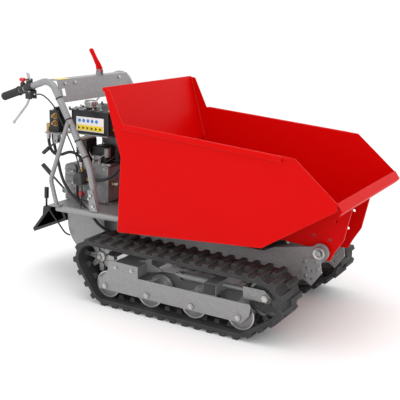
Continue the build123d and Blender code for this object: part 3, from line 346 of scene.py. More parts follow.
# %% Metal finishes
def casting(name, colour, stain, rough=0.5):
    finish = Finish(name)
    sand = finish.noise(420, 6, 0.7)
    cloud = finish.noise(18, 5, 0.6)
    share = cloud.above(0.42, 0.72)
    base = finish.mix(share * 0.6, colour, stain)
    base = finish.mix(finish.edges(0.0018) * 0.5, base, toned(colour, 1.5))
    normal = finish.bump(sand, 0.0006, 0.7, 0.0016)
    rough = rough + share * 0.25
    return finish.set(Base_Color=base, Roughness=rough, Normal=normal, Metallic=0.75 - share * 0.3)


cast_alloy = casting("cast_alloy", (0.27, 0.27, 0.268), (0.07, 0.068, 0.065))
cast_dark = casting("cast_dark", (0.10, 0.10, 0.103), (0.03, 0.03, 0.03))
cast_steel = casting("cast_steel", (0.42, 0.42, 0.42), (0.22, 0.19, 0.16), rough=0.42)


def bright(name, colour, rough, stain=(0.3, 0.28, 0.25)):
    """Plated or drawn metal, streaked along Y."""
    finish = Finish(name)
    drawn = finish.noise(1.0, 3, 0.6, place=finish.mapped((900, 30, 900)))
    cloud = finish.noise(30, 4, 0.6)
    base = finish.mix(cloud.above(0.5, 0.9) * 0.45, colour, stain)
    normal = finish.bump(drawn, 0.00006, 0.5, 0.0008)
    rough = rough + drawn * 0.15
    return finish.set(Base_Color=base, Roughness=rough, Normal=normal, Metallic=1 - cloud * 0.08)


zinc = bright("zinc_plate", (0.50, 0.50, 0.49), 0.26, (0.12, 0.115, 0.11))
chrome = bright("hard_chrome", (0.80, 0.80, 0.81), 0.08)
brass = bright("brass", (0.42, 0.29, 0.13), 0.28, (0.35, 0.22, 0.08))


def turned_metal(name, centre, tone):
    """Fine rings round an axle that runs along Y, over rubbed paint."""
    finish = Finish(name)
    x, _, z = finish.parts(finish.mapped(move=(-centre[0], 0, -centre[2])))
    radius = (x * x + z * z) ** 0.5
    rings = (radius * 5200).wave()
    dirt = finish.noise(24, 5, 0.6).above(0.45, 0.8)
    base = finish.mix(dirt * 0.6, (tone, tone, tone), (0.16, 0.14, 0.12))
    base = finish.mix(finish.edges(0.0018) * 0.6, base, (0.7, 0.7, 0.69))
    normal = finish.bump(rings, 0.00005, 0.5, 0.0016)
    return finish.set(Base_Color=base, Roughness=0.33 + dirt * 0.3, Normal=normal, Metallic=0.85 - dirt * 0.4)


print("finishes made", len(bpy.data.materials))

# %% [markdown]
# ## Finishing the CAD nodes
# Most nodes already have the right shape and only need a finish. Each is given one by name. The rollers and idlers
# each get a turned finish that is centred on their own axle, so that the rings run true.

# %% Give every CAD node its finish
node_finishes = {
    red_paint: ("skip_tub", "skip_subframe", "tip_lever"),
    grey_paint: (
        "chassis_frame", "track_beam_left", "track_beam_right", "platform", "guard_plates", "handlebar_left",
        "handlebar_right", "handle_supports", "console", "tank_shelf", "track_tensioners",
    ),
    black_paint: ("rear_step", "hydraulic_tank", "recoil_starter", "muffler", "lift_barrel", "valve_block"),
    track_rubber: ("track_left", "track_right"),
    hose_rubber: ("control_cables", "pressure_hose", "lift_hose", "suction_hose", "breather_hose"),
    grip_rubber: ("grips",),
    cast_alloy: ("cylinder_head", "gearbox_case", "engine_block"),
    cast_dark: ("hydraulic_pump",),
    cast_steel: ("sprocket_left", "sprocket_right"),
    zinc: (
        "track_axles", "pivot_pins", "frame_bolts", "throttle_lever", "squeeze_lever_left",
        "squeeze_lever_right", "tank_cap",
    ),
    chrome: ("lift_rod",),
    brass: ("hose_fittings",),
    black_plastic: ("air_cleaner", "fuel_tank", "lever_mounts", "gear_lever", "range_lever", "drive_lever"),
    red_plastic: ("stop_switch",),
}
wheel_tones = {"roller_": 0.6, "idler_": 0.12}


def give_finish(name, material):
    materials = nodes[name].data.materials
    materials.clear()
    materials.append(material)


finished = set()
for material, names in node_finishes.items():
    for name in names:
        give_finish(name, material)
        finished.add(name)
for name in nodes:
    for prefix, tone in wheel_tones.items():
        if name.startswith(prefix):
            low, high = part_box(name)
            give_finish(name, turned_metal(f"turned_{name}", (low + high) / 2, tone))
            finished.add(name)
print("nodes finished", len(finished), "still plain", sorted(set(nodes) - finished))

# %% [markdown]
# ## Tools for new pieces
# Each new piece starts as a bmesh. A few helpers make turned, boxed and hexagonal shapes with bmesh operators, and
# one helper turns a finished bmesh into an object that rides on a body of the machine. Places that several pieces
# share are named once.

# %% Modelling helpers
both_sides = (("right", -1), ("left", 1))
track_middle = 310
bar_side = 280
sprocket_axle = (-261, 194)
idler_axle = (553, 176)
crank = (-492, 490)
label_face = -181.2
lid_top = 816.5
ripple_pitch = 5


def at(x, y, z):
    """A point given in millimetres, in metres."""
    return Vector((x, y, z)) * 0.001


def axes_of(axis):
    """A matrix whose Z is the axis."""
    return Vector(axis).normalized().to_track_quat("Z", "Y").to_matrix().to_4x4()


def edges_of(made):
    """Every edge of the vertices that an operator made, each of them once."""
    return list(dict.fromkeys(edge for vert in made["verts"] for edge in vert.link_edges))


def round_edges(bm, edges, radius, steps=3):
    """Bevel edges to a radius in millimetres."""
    bmesh.ops.bevel(
        bm, geom=edges, offset=radius * 0.001, affect="EDGES", segments=steps, profile=0.5, material=-1
    )


def add_turned(bm, profile, base, axis, steps=28):
    """Spin a profile of (radius, height) in millimetres round an axis that starts at base."""
    frame_of = Matrix.Translation(base) @ axes_of(axis)
    verts = [bm.verts.new(frame_of @ at(radius, 0, height)) for radius, height in profile]
    edges = [bm.edges.new(pair) for pair in zip(verts, verts[1:])]
    bmesh.ops.spin(
        bm, geom=verts + edges, cent=base, axis=Vector(axis).normalized(), dvec=(0, 0, 0), angle=2 * pi,
        steps=steps, use_merge=True, use_duplicate=False,
    )


def add_hex(bm, base, axis, across, height, washer=True):
    """A chamfered hexagon head, on a washer unless told otherwise. Sizes are in millimetres."""
    lift = 0.0
    if washer:
        rim = across * 0.72
        add_turned(bm, ((0, 0), (rim, 0), (rim, 1.2), (across * 0.3, 1.4), (0, 1.4)), base, axis, 24)
        lift = 1.2
    corner = across * 0.577 * 0.001
    middle = Matrix.Translation(at(0, 0, lift + height / 2))
    made = bmesh.ops.create_cone(
        bm, cap_ends=True, segments=6, radius1=corner, radius2=corner, depth=height * 0.001,
        matrix=Matrix.Translation(base) @ axes_of(axis) @ middle,
    )
    round_edges(bm, edges_of(made), 0.6, 1)


def add_brick(bm, low, high, rounding=0.0):
    """A block between two corners, in millimetres."""
    size = [(h - l) * 0.001 for l, h in zip(low, high)]
    middle = [(l + h) / 2 for l, h in zip(low, high)]
    made = bmesh.ops.create_cube(
        bm, size=1.0, matrix=Matrix.Translation(at(*middle)) @ Matrix.Diagonal((*size, 1))
    )
    if rounding:
        round_edges(bm, edges_of(made), rounding)


def add_bead(bm, start, end, radius):
    """A weld bead: a round strip whose ripples are a few millimetres apart."""
    run = end - start
    length = run.length * 1000
    count = max(3, round(length / ripple_pitch))
    profile = [(0, 0)]
    for index in range(count * 3 + 1):
        wave = 0.82 + 0.18 * abs(sin(pi * index / 3))
        profile.append((radius * wave, length * index / (count * 3)))
    profile.append((0, length))
    add_turned(bm, profile, start, run, 8)


def make_piece(name, bm, body, material, smooth=35):
    """Close a bmesh into an object at the origin that rides on a body."""
    bmesh.ops.remove_doubles(bm, verts=bm.verts, dist=2e-6)
    bmesh.ops.recalc_face_normals(bm, faces=bm.faces)
    mesh = bpy.data.meshes.new(name)
    bm.to_mesh(mesh)
    bm.free()
    mesh.materials.append(material)
    mesh.shade_smooth()
    mesh.set_sharp_from_angle(angle=radians(smooth))
    piece = stand(name, mesh)
    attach(piece, body)
    print(name, "faces", len(mesh.polygons))
    return piece


def make_wire(name, routes, radius, body, material):
    """A bent wire: smooth NURBS lines with a round section. Points are in millimetres."""
    curve = bpy.data.curves.new(name, "CURVE")
    curve.dimensions = "3D"
    curve.bevel_depth = radius * 0.001
    curve.bevel_resolution = 3
    curve.use_fill_caps = True
    for route in routes:
        spline = curve.splines.new("NURBS")
        spline.points.add(len(route) - 1)
        for point, place in zip(spline.points, route):
            point.co = (*at(*place), 1)
        spline.order_u = 3
        spline.use_endpoint_u = True
        spline.resolution_u = 8
    curve.materials.append(material)
    piece = stand(name, curve)
    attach(piece, body)
    print(name, "lines", len(routes))


# %% [markdown]
# ## Rounded tracks
# The tread of a rubber track catches the light on its edges. The CAD band is divided by hairline joints that a real
# band doesn't have. A copy of it is merged, its joints are closed, its flat areas are dissolved into whole faces,
# and a Bevel modifier rounds what is left. The copy then stands for the node.


# %% Rounded copies of the tracks
def close_joints(bm, gap):
    """Join sections that stand a hairline apart: drop the faces inside the joint and merge its two rims."""
    bm.verts.ensure_lookup_table()
    bm.verts.index_update()
    tree = KDTree(len(bm.verts))
    for vert in bm.verts:
        tree.insert(vert.co, vert.index)
    tree.balance()
    across = {}
    for vert in bm.verts:
        for place, index, _ in tree.find_range(vert.co, gap * 1.5):
            if index != vert.index:
                across[vert.index] = (place - vert.co).normalized()
    inside = [
        face for face in bm.faces
        if all(v.index in across and abs(across[v.index].dot(face.normal)) > 0.7 for v in face.verts)
    ]
    bmesh.ops.delete(bm, geom=inside, context="FACES")
    bmesh.ops.remove_doubles(bm, verts=bm.verts, dist=gap * 1.5)
    print("faces taken out of joints", len(inside), "open edges left", sum(e.is_boundary for e in bm.edges))


def round_copy(name, body, material, width):
    bm = bmesh.new()
    bm.from_mesh(nodes[name].data)
    bmesh.ops.remove_doubles(bm, verts=bm.verts, dist=2e-6)
    close_joints(bm, 0.0001)
    bmesh.ops.dissolve_limit(bm, angle_limit=radians(1.5), verts=bm.verts, edges=bm.edges)
    mesh = bpy.data.meshes.new(name + "_rounded")
    bm.to_mesh(mesh)
    bm.free()
    mesh.materials.append(material)
    mesh.shade_smooth()
    mesh.set_sharp_from_angle(angle=radians(40))
    piece = stand(name + "_rounded", mesh)
    bevel = piece.modifiers.new("rounding", "BEVEL")
    bevel.width = width * 0.001
    bevel.segments = 2
    bevel.limit_method = "ANGLE"
    bevel.angle_limit = radians(38)
    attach(piece, body)
    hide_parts(name)


for side in ("left", "right"):
    round_copy(f"track_{side}", "chassis", track_rubber, 1.4)

# %% [markdown]
# ## The skip's welds
# The skip is folded from one sheet and closed by two side panels, which are welded along the inside. A weld bead is a
# round strip with ripples, so it is a spun profile whose radius rises and falls.

# %% Weld beads on the skip
panel_inner = 346.5
skip_folds = ((-214, 935), (-131, 659), (-149, 335), (528, 385), (824, 575))
for side, sign in both_sides:
    bm = bmesh.new()
    seam = sign * panel_inner
    for start, end in zip(skip_folds, skip_folds[1:]):
        add_bead(bm, at(start[0] + 2, seam, start[1]), at(end[0], seam, end[1]), 2.6)
    make_piece(f"skip_weld_{side}", bm, "skip", red_paint, 60)

# %% [markdown]
# ## Rolled rims
# The long edges of the skip are stiffened by a rolled rim, a strip that stands proud of the panel and ends a little
# short of the pouring end. It starts as a block between two points, and a bevel makes its round edges.


# %% Rims of the skip
def add_bar(bm, start, end, height, y_range, rounding):
    """A bar from start to end, both (x, z) at its top edge, in millimetres."""
    run = Vector((end[0] - start[0], 0, end[1] - start[1]))
    middle = at((start[0] + end[0]) / 2, sum(y_range) / 2, (start[1] + end[1]) / 2 - height / 2)
    lean = Matrix.Rotation(-atan2(run.z, run.x), 4, "Y")
    size = Matrix.Diagonal((*at(run.length, y_range[1] - y_range[0], height), 1))
    made = bmesh.ops.create_cube(bm, size=1.0, matrix=Matrix.Translation(middle) @ lean @ size)
    round_edges(bm, edges_of(made), rounding)


rim_back, rim_turn, rim_front = (-118, 802.5), (600, 751.5), (648, 748)
rim_inner = 349
for side, sign in both_sides:
    bm = bmesh.new()
    add_bar(bm, rim_back, rim_turn, 25, sorted((sign * rim_inner, sign * 360)), 3.4)
    add_bar(bm, rim_turn, rim_front, 12, sorted((sign * rim_inner, sign * 355)), 2.0)
    make_piece(f"skip_rim_{side}", bm, "skip", red_paint, 60)
bm = bmesh.new()
add_brick(bm, (-227, -352, 928), (-217, 352, 944.5), 3.5)
make_piece("skip_rim_back", bm, "skip", red_paint, 60)

# %% [markdown]
# ## Roller caps
# Each roller turns on its axle behind a pressed ring with five small bolts. The ring is spun from a profile, and it
# rides on its roller, so that the bolts show the wheel turning.


# %% Caps on the rollers
def around(middle, radius, count, start=0.0):
    """Points spaced evenly on a circle that faces along Y, in millimetres."""
    x, y, z = middle
    angles = [2 * pi * index / count + start for index in range(count)]
    return [at(x + radius * cos(angle), y, z + radius * sin(angle)) for angle in angles]


roller_reach = 45
roller_ring = ((52, 0), (54, 0), (54, 2.5), (50, 3.2), (34, 1.2), (20, 1.2), (18.5, 0), (52, 0))
for name in sorted(nodes):
    if not name.startswith("roller_"):
        continue
    low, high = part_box(name)
    x, y, z = (low + high) / 2 * 1000
    bm = bmesh.new()
    for sign in (-1, 1):
        face = y + sign * roller_reach
        add_turned(bm, roller_ring, at(x, face, z), (0, sign, 0), 40)
        for spot in around((x, face + sign, z), 27, 5):
            add_hex(bm, spot, (0, sign, 0), 6, 2.6, washer=False)
    make_piece(f"{name}_cap", bm, name, cast_alloy)

# %% [markdown]
# ## Sprocket bolts and idler caps
# The sprocket is held to its hub by a ring of bolts, and the idler's bearing has a bolted cap. Both are spun, and
# both ride on their wheel.

# %% Sprocket bolts and idler caps
sprocket_ring = ((16, 20), (24, 20), (24, 23), (21, 25), (16, 25), (16, 20))
idler_cap = ((12, 0), (62, 0), (62, 1.5), (45, 3), (24, 3), (21, 9), (12, 10), (12, 0))
for side, sign in both_sides:
    outward = (0, sign, 0)
    x, z = sprocket_axle
    bm = bmesh.new()
    add_turned(bm, sprocket_ring, at(x, sign * track_middle, z), outward, 32)
    for spot in around((x, sign * (track_middle + 25), z), 20.5, 6, 0.3):
        add_hex(bm, spot, outward, 5, 3, washer=False)
    make_piece(f"sprocket_{side}_bolts", bm, f"sprocket_{side}", zinc)
    x, z = idler_axle
    bm = bmesh.new()
    add_turned(bm, idler_cap, at(x, sign * (track_middle + 13), z), outward, 40)
    for spot in around((x, sign * (track_middle + 15.5), z), 34, 6):
        add_hex(bm, spot, outward, 8, 4)
    make_piece(f"idler_{side}_cap", bm, f"idler_{side}", cast_dark)

# %% [markdown]
# ## Grips
# A moulded grip has a flange at its inner end, a smooth collar and rings for the fingers. It is a spun profile along
# the handlebar's line, and it stands for the plain sleeve of the CAD model.

# %% Grips
bar_end = at(-846, 0, 852)
bar_bend = at(-565, 0, 950)
bar_line = (bar_end - bar_bend).normalized()
finger_rings, ring_pitch = 16, 5


def on_bar(distance, sign, below=0.0):
    """A point on the upper handlebar, in metres, from millimetres along it and below it."""
    across = Vector((-bar_line.z, 0, bar_line.x))
    place = bar_end - bar_line * distance * 0.001 + across * below * 0.001
    return Vector((place.x, sign * bar_side * 0.001, place.z))


grip_profile = [(0, 0), (14, 0), (17.5, 1.5), (18.6, 5), (18.6, 10)]
for index in range(finger_rings):
    start = 12 + index * ring_pitch
    grip_profile += [(18.6, start), (17.2, start + 0.8), (17.2, start + 2.6), (18.6, start + 3.4)]
grip_profile += [(18.6, 95), (18.2, 99), (21, 101), (22, 103), (21.5, 106), (16, 107), (15.3, 107)]
bm = bmesh.new()
for sign in (-1, 1):
    add_turned(bm, grip_profile, on_bar(-4, sign), -bar_line, 32)
grips = make_piece("grips_ribbed", bm, "chassis", grip_rubber, 50)
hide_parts("grips")

# %% [markdown]
# ## Lever housings and cable adjusters
# The squeeze lever sits between two ribbed cheeks that also hold the switch contacts, and its cable leaves through a
# threaded adjuster. Cheeks and ribs are rounded blocks, and the adjuster is spun.

# %% Lever housings and cable adjusters
adjuster = ((0, 0), (4, 0), (5.5, 2), (5.5, 8), (4, 10), (3.2, 11), (3.2, 22), (0, 22))
for side, sign in both_sides:
    y = sign * bar_side
    x, _, z = on_bar(158, sign, 38) * 1000
    bm = bmesh.new()
    add_brick(bm, (x - 17, y - 20, z - 14), (x + 19, y - 11.6, z + 26), 3)
    add_brick(bm, (x - 17, y + 11.6, z - 14), (x + 19, y + 20, z + 26), 3)
    add_brick(bm, (x + 10.5, y - 14, z - 8), (x + 22, y + 14, z + 22), 3)
    for flank in (y - 20, y + 20):
        for rib in (z - 6, z + 4, z + 14):
            add_brick(bm, (x - 13, flank - 1.2, rib), (x + 15, flank + 1.2, rib + 3), 0.8)
    make_piece(f"lever_housing_{side}", bm, "chassis", black_plastic)
    bm = bmesh.new()
    for flank in (-1, 1):
        add_hex(bm, at(x + 8, y + flank * 20, z + 20), (0, flank, 0), 6, 2.4)
    add_turned(bm, adjuster, on_bar(171, sign, 34) + at(4, 0, 0), (1, 0, 0.02), 20)
    make_piece(f"cable_adjuster_{side}", bm, "chassis", zinc)

# %% [markdown]
# ## Cable ties
# Plastic ties hold the cables to the bars. Each tie is a spun band round the upright, with a small block for its
# lock.

# %% Cable ties
upright_low, upright_high = (-353, 579), (-565, 950)
upright_run = Vector((upright_high[0] - upright_low[0], 0, upright_high[1] - upright_low[1]))
tie_band = ((15.3, -3), (16.6, -3), (16.9, 0), (16.6, 3), (15.3, 3), (15.3, -3))
for side, sign in both_sides:
    bm = bmesh.new()
    for z in (870, 780, 690, 620):
        x = upright_low[0] + upright_run.x * (z - upright_low[1]) / upright_run.z
        add_turned(bm, tie_band, at(x, sign * bar_side, z), upright_run, 28)
        y = sign * 263.5
        add_brick(bm, (x - 6, y - 4, z - 4), (x + 2, y + 4, z + 4), 1.5)
    make_piece(f"cable_ties_{side}", bm, "chassis", black_plastic)

# %% [markdown]
# ## Tip lever blade
# The tipping lever ends in a flat red blade, cut from plate with rounded edges. Its outline is drawn as one face,
# which is extruded to the plate's thickness and beveled.

# %% Tip lever blade
bm = bmesh.new()
blade = (
    (-566, 972), (-530, 978), (-545, 1004), (-562, 1026),
    (-588, 1071), (-608, 1062), (-580, 1016), (-570, 996),
)
face = bm.faces.new([bm.verts.new(at(x, 48, z)) for x, z in blade])
grown = bmesh.ops.extrude_face_region(bm, geom=[face])["geom"]
far_corners = [part for part in grown if isinstance(part, bmesh.types.BMVert)]
bmesh.ops.translate(bm, verts=far_corners, vec=at(0, 8, 0))
bmesh.ops.recalc_face_normals(bm, faces=bm.faces)
round_edges(bm, list(bm.edges), 1.8)
make_piece("tip_lever_blade", bm, "tip_lever", red_paint, 60)

# %% [markdown]
# ## Stop button
# A mushroom button is easy to hit with a gloved hand. It is a spun profile that sits on the CAD switch and rides
# with it, so that it goes down when the switch does.

# %% Stop button
low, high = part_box("stop_switch")
middle = (low + high) / 2
switch_top = Vector((middle[0], middle[1], high[2]))
bm = bmesh.new()
mushroom = ((0, -2.2), (9, -2.2), (14, 0.5), (15.5, 4), (15, 9), (11, 13), (0, 14.5))
add_turned(bm, mushroom, switch_top, (0, 0, 1), 32)
make_piece("stop_button", bm, "stop_switch", red_plastic)

# %% [markdown]
# ## Hose ends
# Crimped ferrules end the hoses, and hexagon nuts hold them to the fittings. Each end is given as the hose, its last
# point and the direction it leaves in, so one loop spins every ferrule and sets every nut.

# %% Hose ends
hose_ends = (
    ("pressure_hose", (-646, -210, 692), (0, 0, -1)),
    ("pressure_hose", (-492, -165, 542), (0, 0, 1)),
    ("lift_hose", (-646, -182, 742), (0, 0, -1)),
    ("lift_hose", (-256, -170, 254), (-1, 0, 0)),
    ("suction_hose", (-303, -150, 732), (1, 0, 0)),
    ("suction_hose", (-444, -165, 490), (1, 0, 0)),
    ("breather_hose", (-303, -100, 764), (1, 0, 0)),
    ("breather_hose", (-349, -104, 470), (1, 0, 0)),
)
ferrule = (
    (7.3, 1), (9.6, 1), (10.2, 3), (10.2, 7), (9.4, 8), (10.2, 9), (10.2, 13), (9.4, 14),
    (10.2, 15), (10.2, 22), (9.0, 24), (7.3, 24), (7.3, 1),
)
bm = bmesh.new()
nuts = bmesh.new()
for hose, place, away in hose_ends:
    print("ferrule and nut on", hose)
    add_turned(bm, ferrule, at(*place), away, 24)
    add_hex(nuts, at(*place) - Vector(away) * 0.011, away, 21, 10, washer=False)
make_piece("hose_ferrules", bm, "chassis", zinc)
make_piece("hose_nuts", nuts, "chassis", brass)

# %% [markdown]
# ## Valve plugs
# The valve block is closed by brass plugs, two of them with a turned cap over the spool's ends. They are hexagons
# with a spun cap.

# %% Valve plugs
plug_cap = ((0, 9), (7, 9), (7, 20), (5, 23), (0, 23))
bm = bmesh.new()
for z in (745, 778):
    add_hex(bm, at(-592, -225, z), (0, -1, 0), 20, 9)
    add_turned(bm, plug_cap, at(-592, -225, z), (0, -1, 0), 20)
add_hex(bm, at(-628, -196, 720), (-1, 0, 0), 18, 8)
add_hex(bm, at(-600, -215, 704), (0, 0, -1), 16, 7)
make_piece("valve_plugs", bm, "chassis", brass)

# %% [markdown]
# ## Labels
# The tank carries a white label with a row of blue discs over a yellow band of black triangles, without lettering,
# and the console has a small yellow one. They are thin blocks and thin turned shapes, because a film label stands
# a little proud of the paint. A shape turned in three steps is a triangle.

# %% Labels
sign_pitch = 24
bm = bmesh.new()
add_brick(bm, (-505, label_face, 716), (-350, label_face + 1.2, 781), 0.4)
make_piece("tank_label", bm, "chassis", label_white)
bm = bmesh.new()
for index in range(5):
    disc = ((0, 0), (8, 0), (8, 0.5), (0, 0.6))
    add_turned(bm, disc, at(-486 + index * sign_pitch, label_face, 764), (0, -1, 0), 20)
make_piece("tank_label_discs", bm, "chassis", label_blue)
bm = bmesh.new()
add_brick(bm, (-501, label_face - 0.6, 720), (-354, label_face + 0.2, 744), 0.2)
make_piece("tank_label_band", bm, "chassis", label_yellow)
bm = bmesh.new()
for index in range(6):
    triangle = ((0, 0), (8.5, 0), (8.5, 0.5), (0, 0.6))
    add_turned(bm, triangle, at(-490 + index * sign_pitch, label_face - 0.6, 731), (0, -1, 0), 3)
make_piece("tank_label_triangles", bm, "chassis", black_plastic)

# %% [markdown]
# ## Tank cap
# The filler cap is a plated crown with ribs for the fingers. The crown is spun, and small rounded blocks stand round
# it. It rides on the CAD cap, so that it turns with it.

# %% Tank cap
low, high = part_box("tank_cap")
cap_seat = 816
x, y, _ = (low + high) / 2 * 1000
crown = ((0, 0), (30, 0), (31, 2), (31, 6), (27, 8), (27, 12), (29, 14), (29, 29), (26, 33), (0, 34))
rib_count = 16
bm = bmesh.new()
add_turned(bm, crown, at(x, y, cap_seat), (0, 0, 1), 40)
for index in range(rib_count):
    angle = 2 * pi * index / rib_count
    rib = Vector((x + 29.2 * cos(angle), y + 29.2 * sin(angle), cap_seat + 21))
    reach = Vector((2, 2, 6))
    add_brick(bm, rib - reach, rib + reach, 1)
make_piece("tank_cap_crown", bm, "tank_cap", zinc)

# %% [markdown]
# ## Console label and lid bolts
# The console's yellow label is one more thin block. The tank's lid is held down by a row of bolts along each edge,
# which two loops set out.

# %% Console label and lid bolts
bm = bmesh.new()
add_brick(bm, (-588, -238, 947), (-548, -168, 947.8), 0.3)
make_piece("console_label", bm, "chassis", label_yellow)

lid_length, lid_width = 240, 242
bm = bmesh.new()
for index in range(6):
    x = -542 + index * (lid_length - 16) / 5
    for y in (-181, 61):
        add_hex(bm, at(x, y, lid_top), (0, 0, 1), 8, 4.5)
for index in range(1, 3):
    y = -181 + index * lid_width / 3
    for x in (-542, -318):
        add_hex(bm, at(x, y, lid_top), (0, 0, 1), 8, 4.5)
make_piece("tank_lid_bolts", bm, "chassis", zinc)

# %% [markdown]
# ## Carburettor and plug
# The block and the finned head are castings from the CAD model. Between the air cleaner and the head sits a
# carburettor, a cast body with a round float bowl, and the spark plug wears a rubber boot with a lead. The round
# shapes are spun, and the lead is a smooth line with a round section.

# %% Carburettor and plug
throat = ((0, 0), (14, 0), (14, 3), (11, 6), (11, 26), (15, 30), (15, 36), (0, 36))
bowl = ((0, -26), (13, -26), (15, -22), (15, -4), (11, 0), (0, 0))
bm = bmesh.new()
add_turned(bm, throat, at(-472, -62, 612), (0, 1, 0))
add_turned(bm, bowl, at(-472, -44, 604), (0, 0, 1))
add_brick(bm, (-486, -74, 600), (-458, -60, 628), 3)
make_piece("carburettor", bm, "chassis", cast_alloy)

boot = ((0, 0), (9, 0), (10, 4), (9, 24), (7, 34), (4, 38), (0, 38))
bm = bmesh.new()
add_turned(bm, boot, at(-372, -20, 640), (0.85, -0.3, 0.4), 24)
make_piece("plug_boot", bm, "chassis", black_plastic)
plug_route = (
    (-342, -31, 655), (-322, -40, 664), (-316, -70, 650),
    (-330, -104, 610), (-362, -122, 585), (-400, -131, 560),
)
make_wire("plug_lead", (plug_route,), 3, "chassis", hose_rubber)

# %% [markdown]
# ## Muffler guard
# A slotted sheet keeps hands off the hot muffler. It is a thin block with raised bars between the slots and two
# stays that reach back to the muffler.

# %% Muffler guard
bm = bmesh.new()
add_brick(bm, (-262, -30, 536), (-258, 104, 640), 1.5)
for index in range(9):
    y = -24 + index * 15
    add_brick(bm, (-258.5, y, 546), (-255.5, y + 7, 630), 1.2)
for level in (544, 632):
    add_brick(bm, (-275, -20, level - 3), (-262, 94, level + 3), 1)
make_piece("muffler_guard", bm, "chassis", black_paint)

# %% [markdown]
# ## Starter cover
# The recoil starter breathes through a ring of slots. Thin ribs between them are cubes that are turned about the
# crankshaft's axis, round a spun hub. Its handle is a rounded block.

# %% Starter cover
crank_x, crank_z = crank
starter_hub = at(crank_x, 128, crank_z)
cover_ribs = 14
bm = bmesh.new()
for index in range(cover_ribs):
    angle = Matrix.Rotation(-2 * pi * index / cover_ribs, 4, "Y")
    place = Matrix.Translation(starter_hub) @ angle @ Matrix.Translation(at(40, 0.5, 0))
    bmesh.ops.create_cube(bm, size=1.0, matrix=place @ Matrix.Diagonal((*at(28, 3, 5), 1)))
add_turned(bm, ((0, 0), (16, 0), (16, 3), (12, 5), (0, 5)), starter_hub, (0, 1, 0))
make_piece("starter_cover_ribs", bm, "chassis", grey_paint)
bm = bmesh.new()
add_brick(bm, (-512, 92, 594), (-472, 106, 606), 4)
make_piece("starter_handle", bm, "chassis", black_plastic)

# %% [markdown]
# ## Oil filler and engine bolts
# A red plastic cap closes the oil filler. Bolts hold the crankcase cover, the pump's flange and the head. They stand
# in rows and in a circle, so loops place them, and they share one mesh.

# %% Oil filler and engine bolts
bm = bmesh.new()
add_turned(bm, ((0, 0), (13, 0), (13, 8), (10, 12), (0, 12)), at(-520, -130, 404), (0, -1, 0.15), 24)
make_piece("oil_filler_cap", bm, "chassis", red_plastic)
bm = bmesh.new()
for x in (-525, -450, -385):
    for z in (384, 540):
        add_hex(bm, at(x, -130, z), (0, -1, 0), 9, 5)
for spot in around((crank_x, -136, crank_z), 40, 6):
    add_hex(bm, spot, (0, -1, 0), 7, 4)
for x in (-455, -380):
    for y in (-36, 52):
        add_hex(bm, at(x, y, 672), (0, 0, 1), 9, 6)
make_piece("engine_bolts", bm, "chassis", zinc)

# %% [markdown]
# ## Air cleaner and fuel
# The air cleaner's case has moulded ribs and a wing nut's dome, a thin hose carries the fuel from the tank to the
# carburettor, and the tank has a screw cap. Blocks, a smooth line and spun profiles make them.

# %% Air cleaner and fuel
dome = ((0, 0), (8, 0), (9, 3), (9, 10), (5, 14), (0, 14))
bm = bmesh.new()
add_turned(bm, dome, at(-502, -112, 676), (0, 0, 1), 24)
for level in (612, 626, 640, 654):
    add_brick(bm, (-534, -152, level), (-470, -72, level + 3), 1)
make_piece("air_cleaner_trim", bm, "chassis", black_plastic)
fuel_route = (
    (-432, 84, 716), (-434, 66, 700), (-444, 20, 684),
    (-456, -20, 664), (-466, -40, 640), (-468, -46, 622),
)
make_wire("fuel_line", (fuel_route,), 3.2, "chassis", hose_rubber)
screw_cap = ((0, 0), (27, 0), (29, 3), (29, 15), (25, 19), (0, 20))
bm = bmesh.new()
add_turned(bm, screw_cap, at(-440, 158, 802), (0, 0, 1), 32)
make_piece("fuel_cap", bm, "chassis", black_plastic)

# %% [markdown]
# ## Shroud and governor
# A black shroud guides the cooling air over the head. Beside it, a cast bracket carries the governor and a round
# filter, and two thin rods link the governor to the carburettor. The bracket and the shroud are rounded blocks, and
# the rods are bent wires.

# %% Shroud and governor
bm = bmesh.new()
add_brick(bm, (-468, -118, 566), (-384, -44, 640), 7)
for level in (580, 594, 608, 622):
    add_brick(bm, (-462, -121, level), (-390, -117, level + 5), 1.5)
add_brick(bm, (-545, -128, 690), (-320, -60, 697), 2)
add_brick(bm, (-540, -128, 556), (-470, -60, 574), 4)
make_piece("engine_shroud", bm, "chassis", black_plastic)
filter_can = ((0, 0), (13, 0), (15, 3), (15, 38), (13, 41), (0, 41))
governor_hub = ((0, 0), (8, 0), (8, 22), (6, 25), (0, 25))
bm = bmesh.new()
add_brick(bm, (-452, -134, 560), (-404, -130, 600), 1.5)
add_turned(bm, filter_can, at(-362, -138, 600), (0, 0, 1))
add_turned(bm, governor_hub, at(-428, -134, 578), (0, -1, 0), 24)
add_brick(bm, (-395, -142, 560), (-340, -128, 568), 2)
make_piece("governor_bracket", bm, "chassis", cast_alloy)
bm = bmesh.new()
for x in (-445, -411):
    for z in (592, 568):
        add_hex(bm, at(x, -135, z), (0, -1, 0), 8, 4)
for x in (-384, -350):
    add_hex(bm, at(x, -142, 564), (0, -1, 0), 8, 4)
make_piece("governor_bolts", bm, "chassis", zinc)
link_routes = (
    ((-428, -152, 578), (-440, -156, 600), (-462, -150, 622), (-470, -120, 628)),
    ((-428, -150, 584), (-404, -152, 588), (-380, -150, 606), (-366, -152, 616)),
)
make_wire("governor_links", link_routes, 1.6, "chassis", zinc)

# %% [markdown]
# ## Gearbox and pump details
# Bolts run down the gearbox's rear face and its side, and a round plate closes the end of the pump. Rows of bolts are
# loops, and the plate is spun.

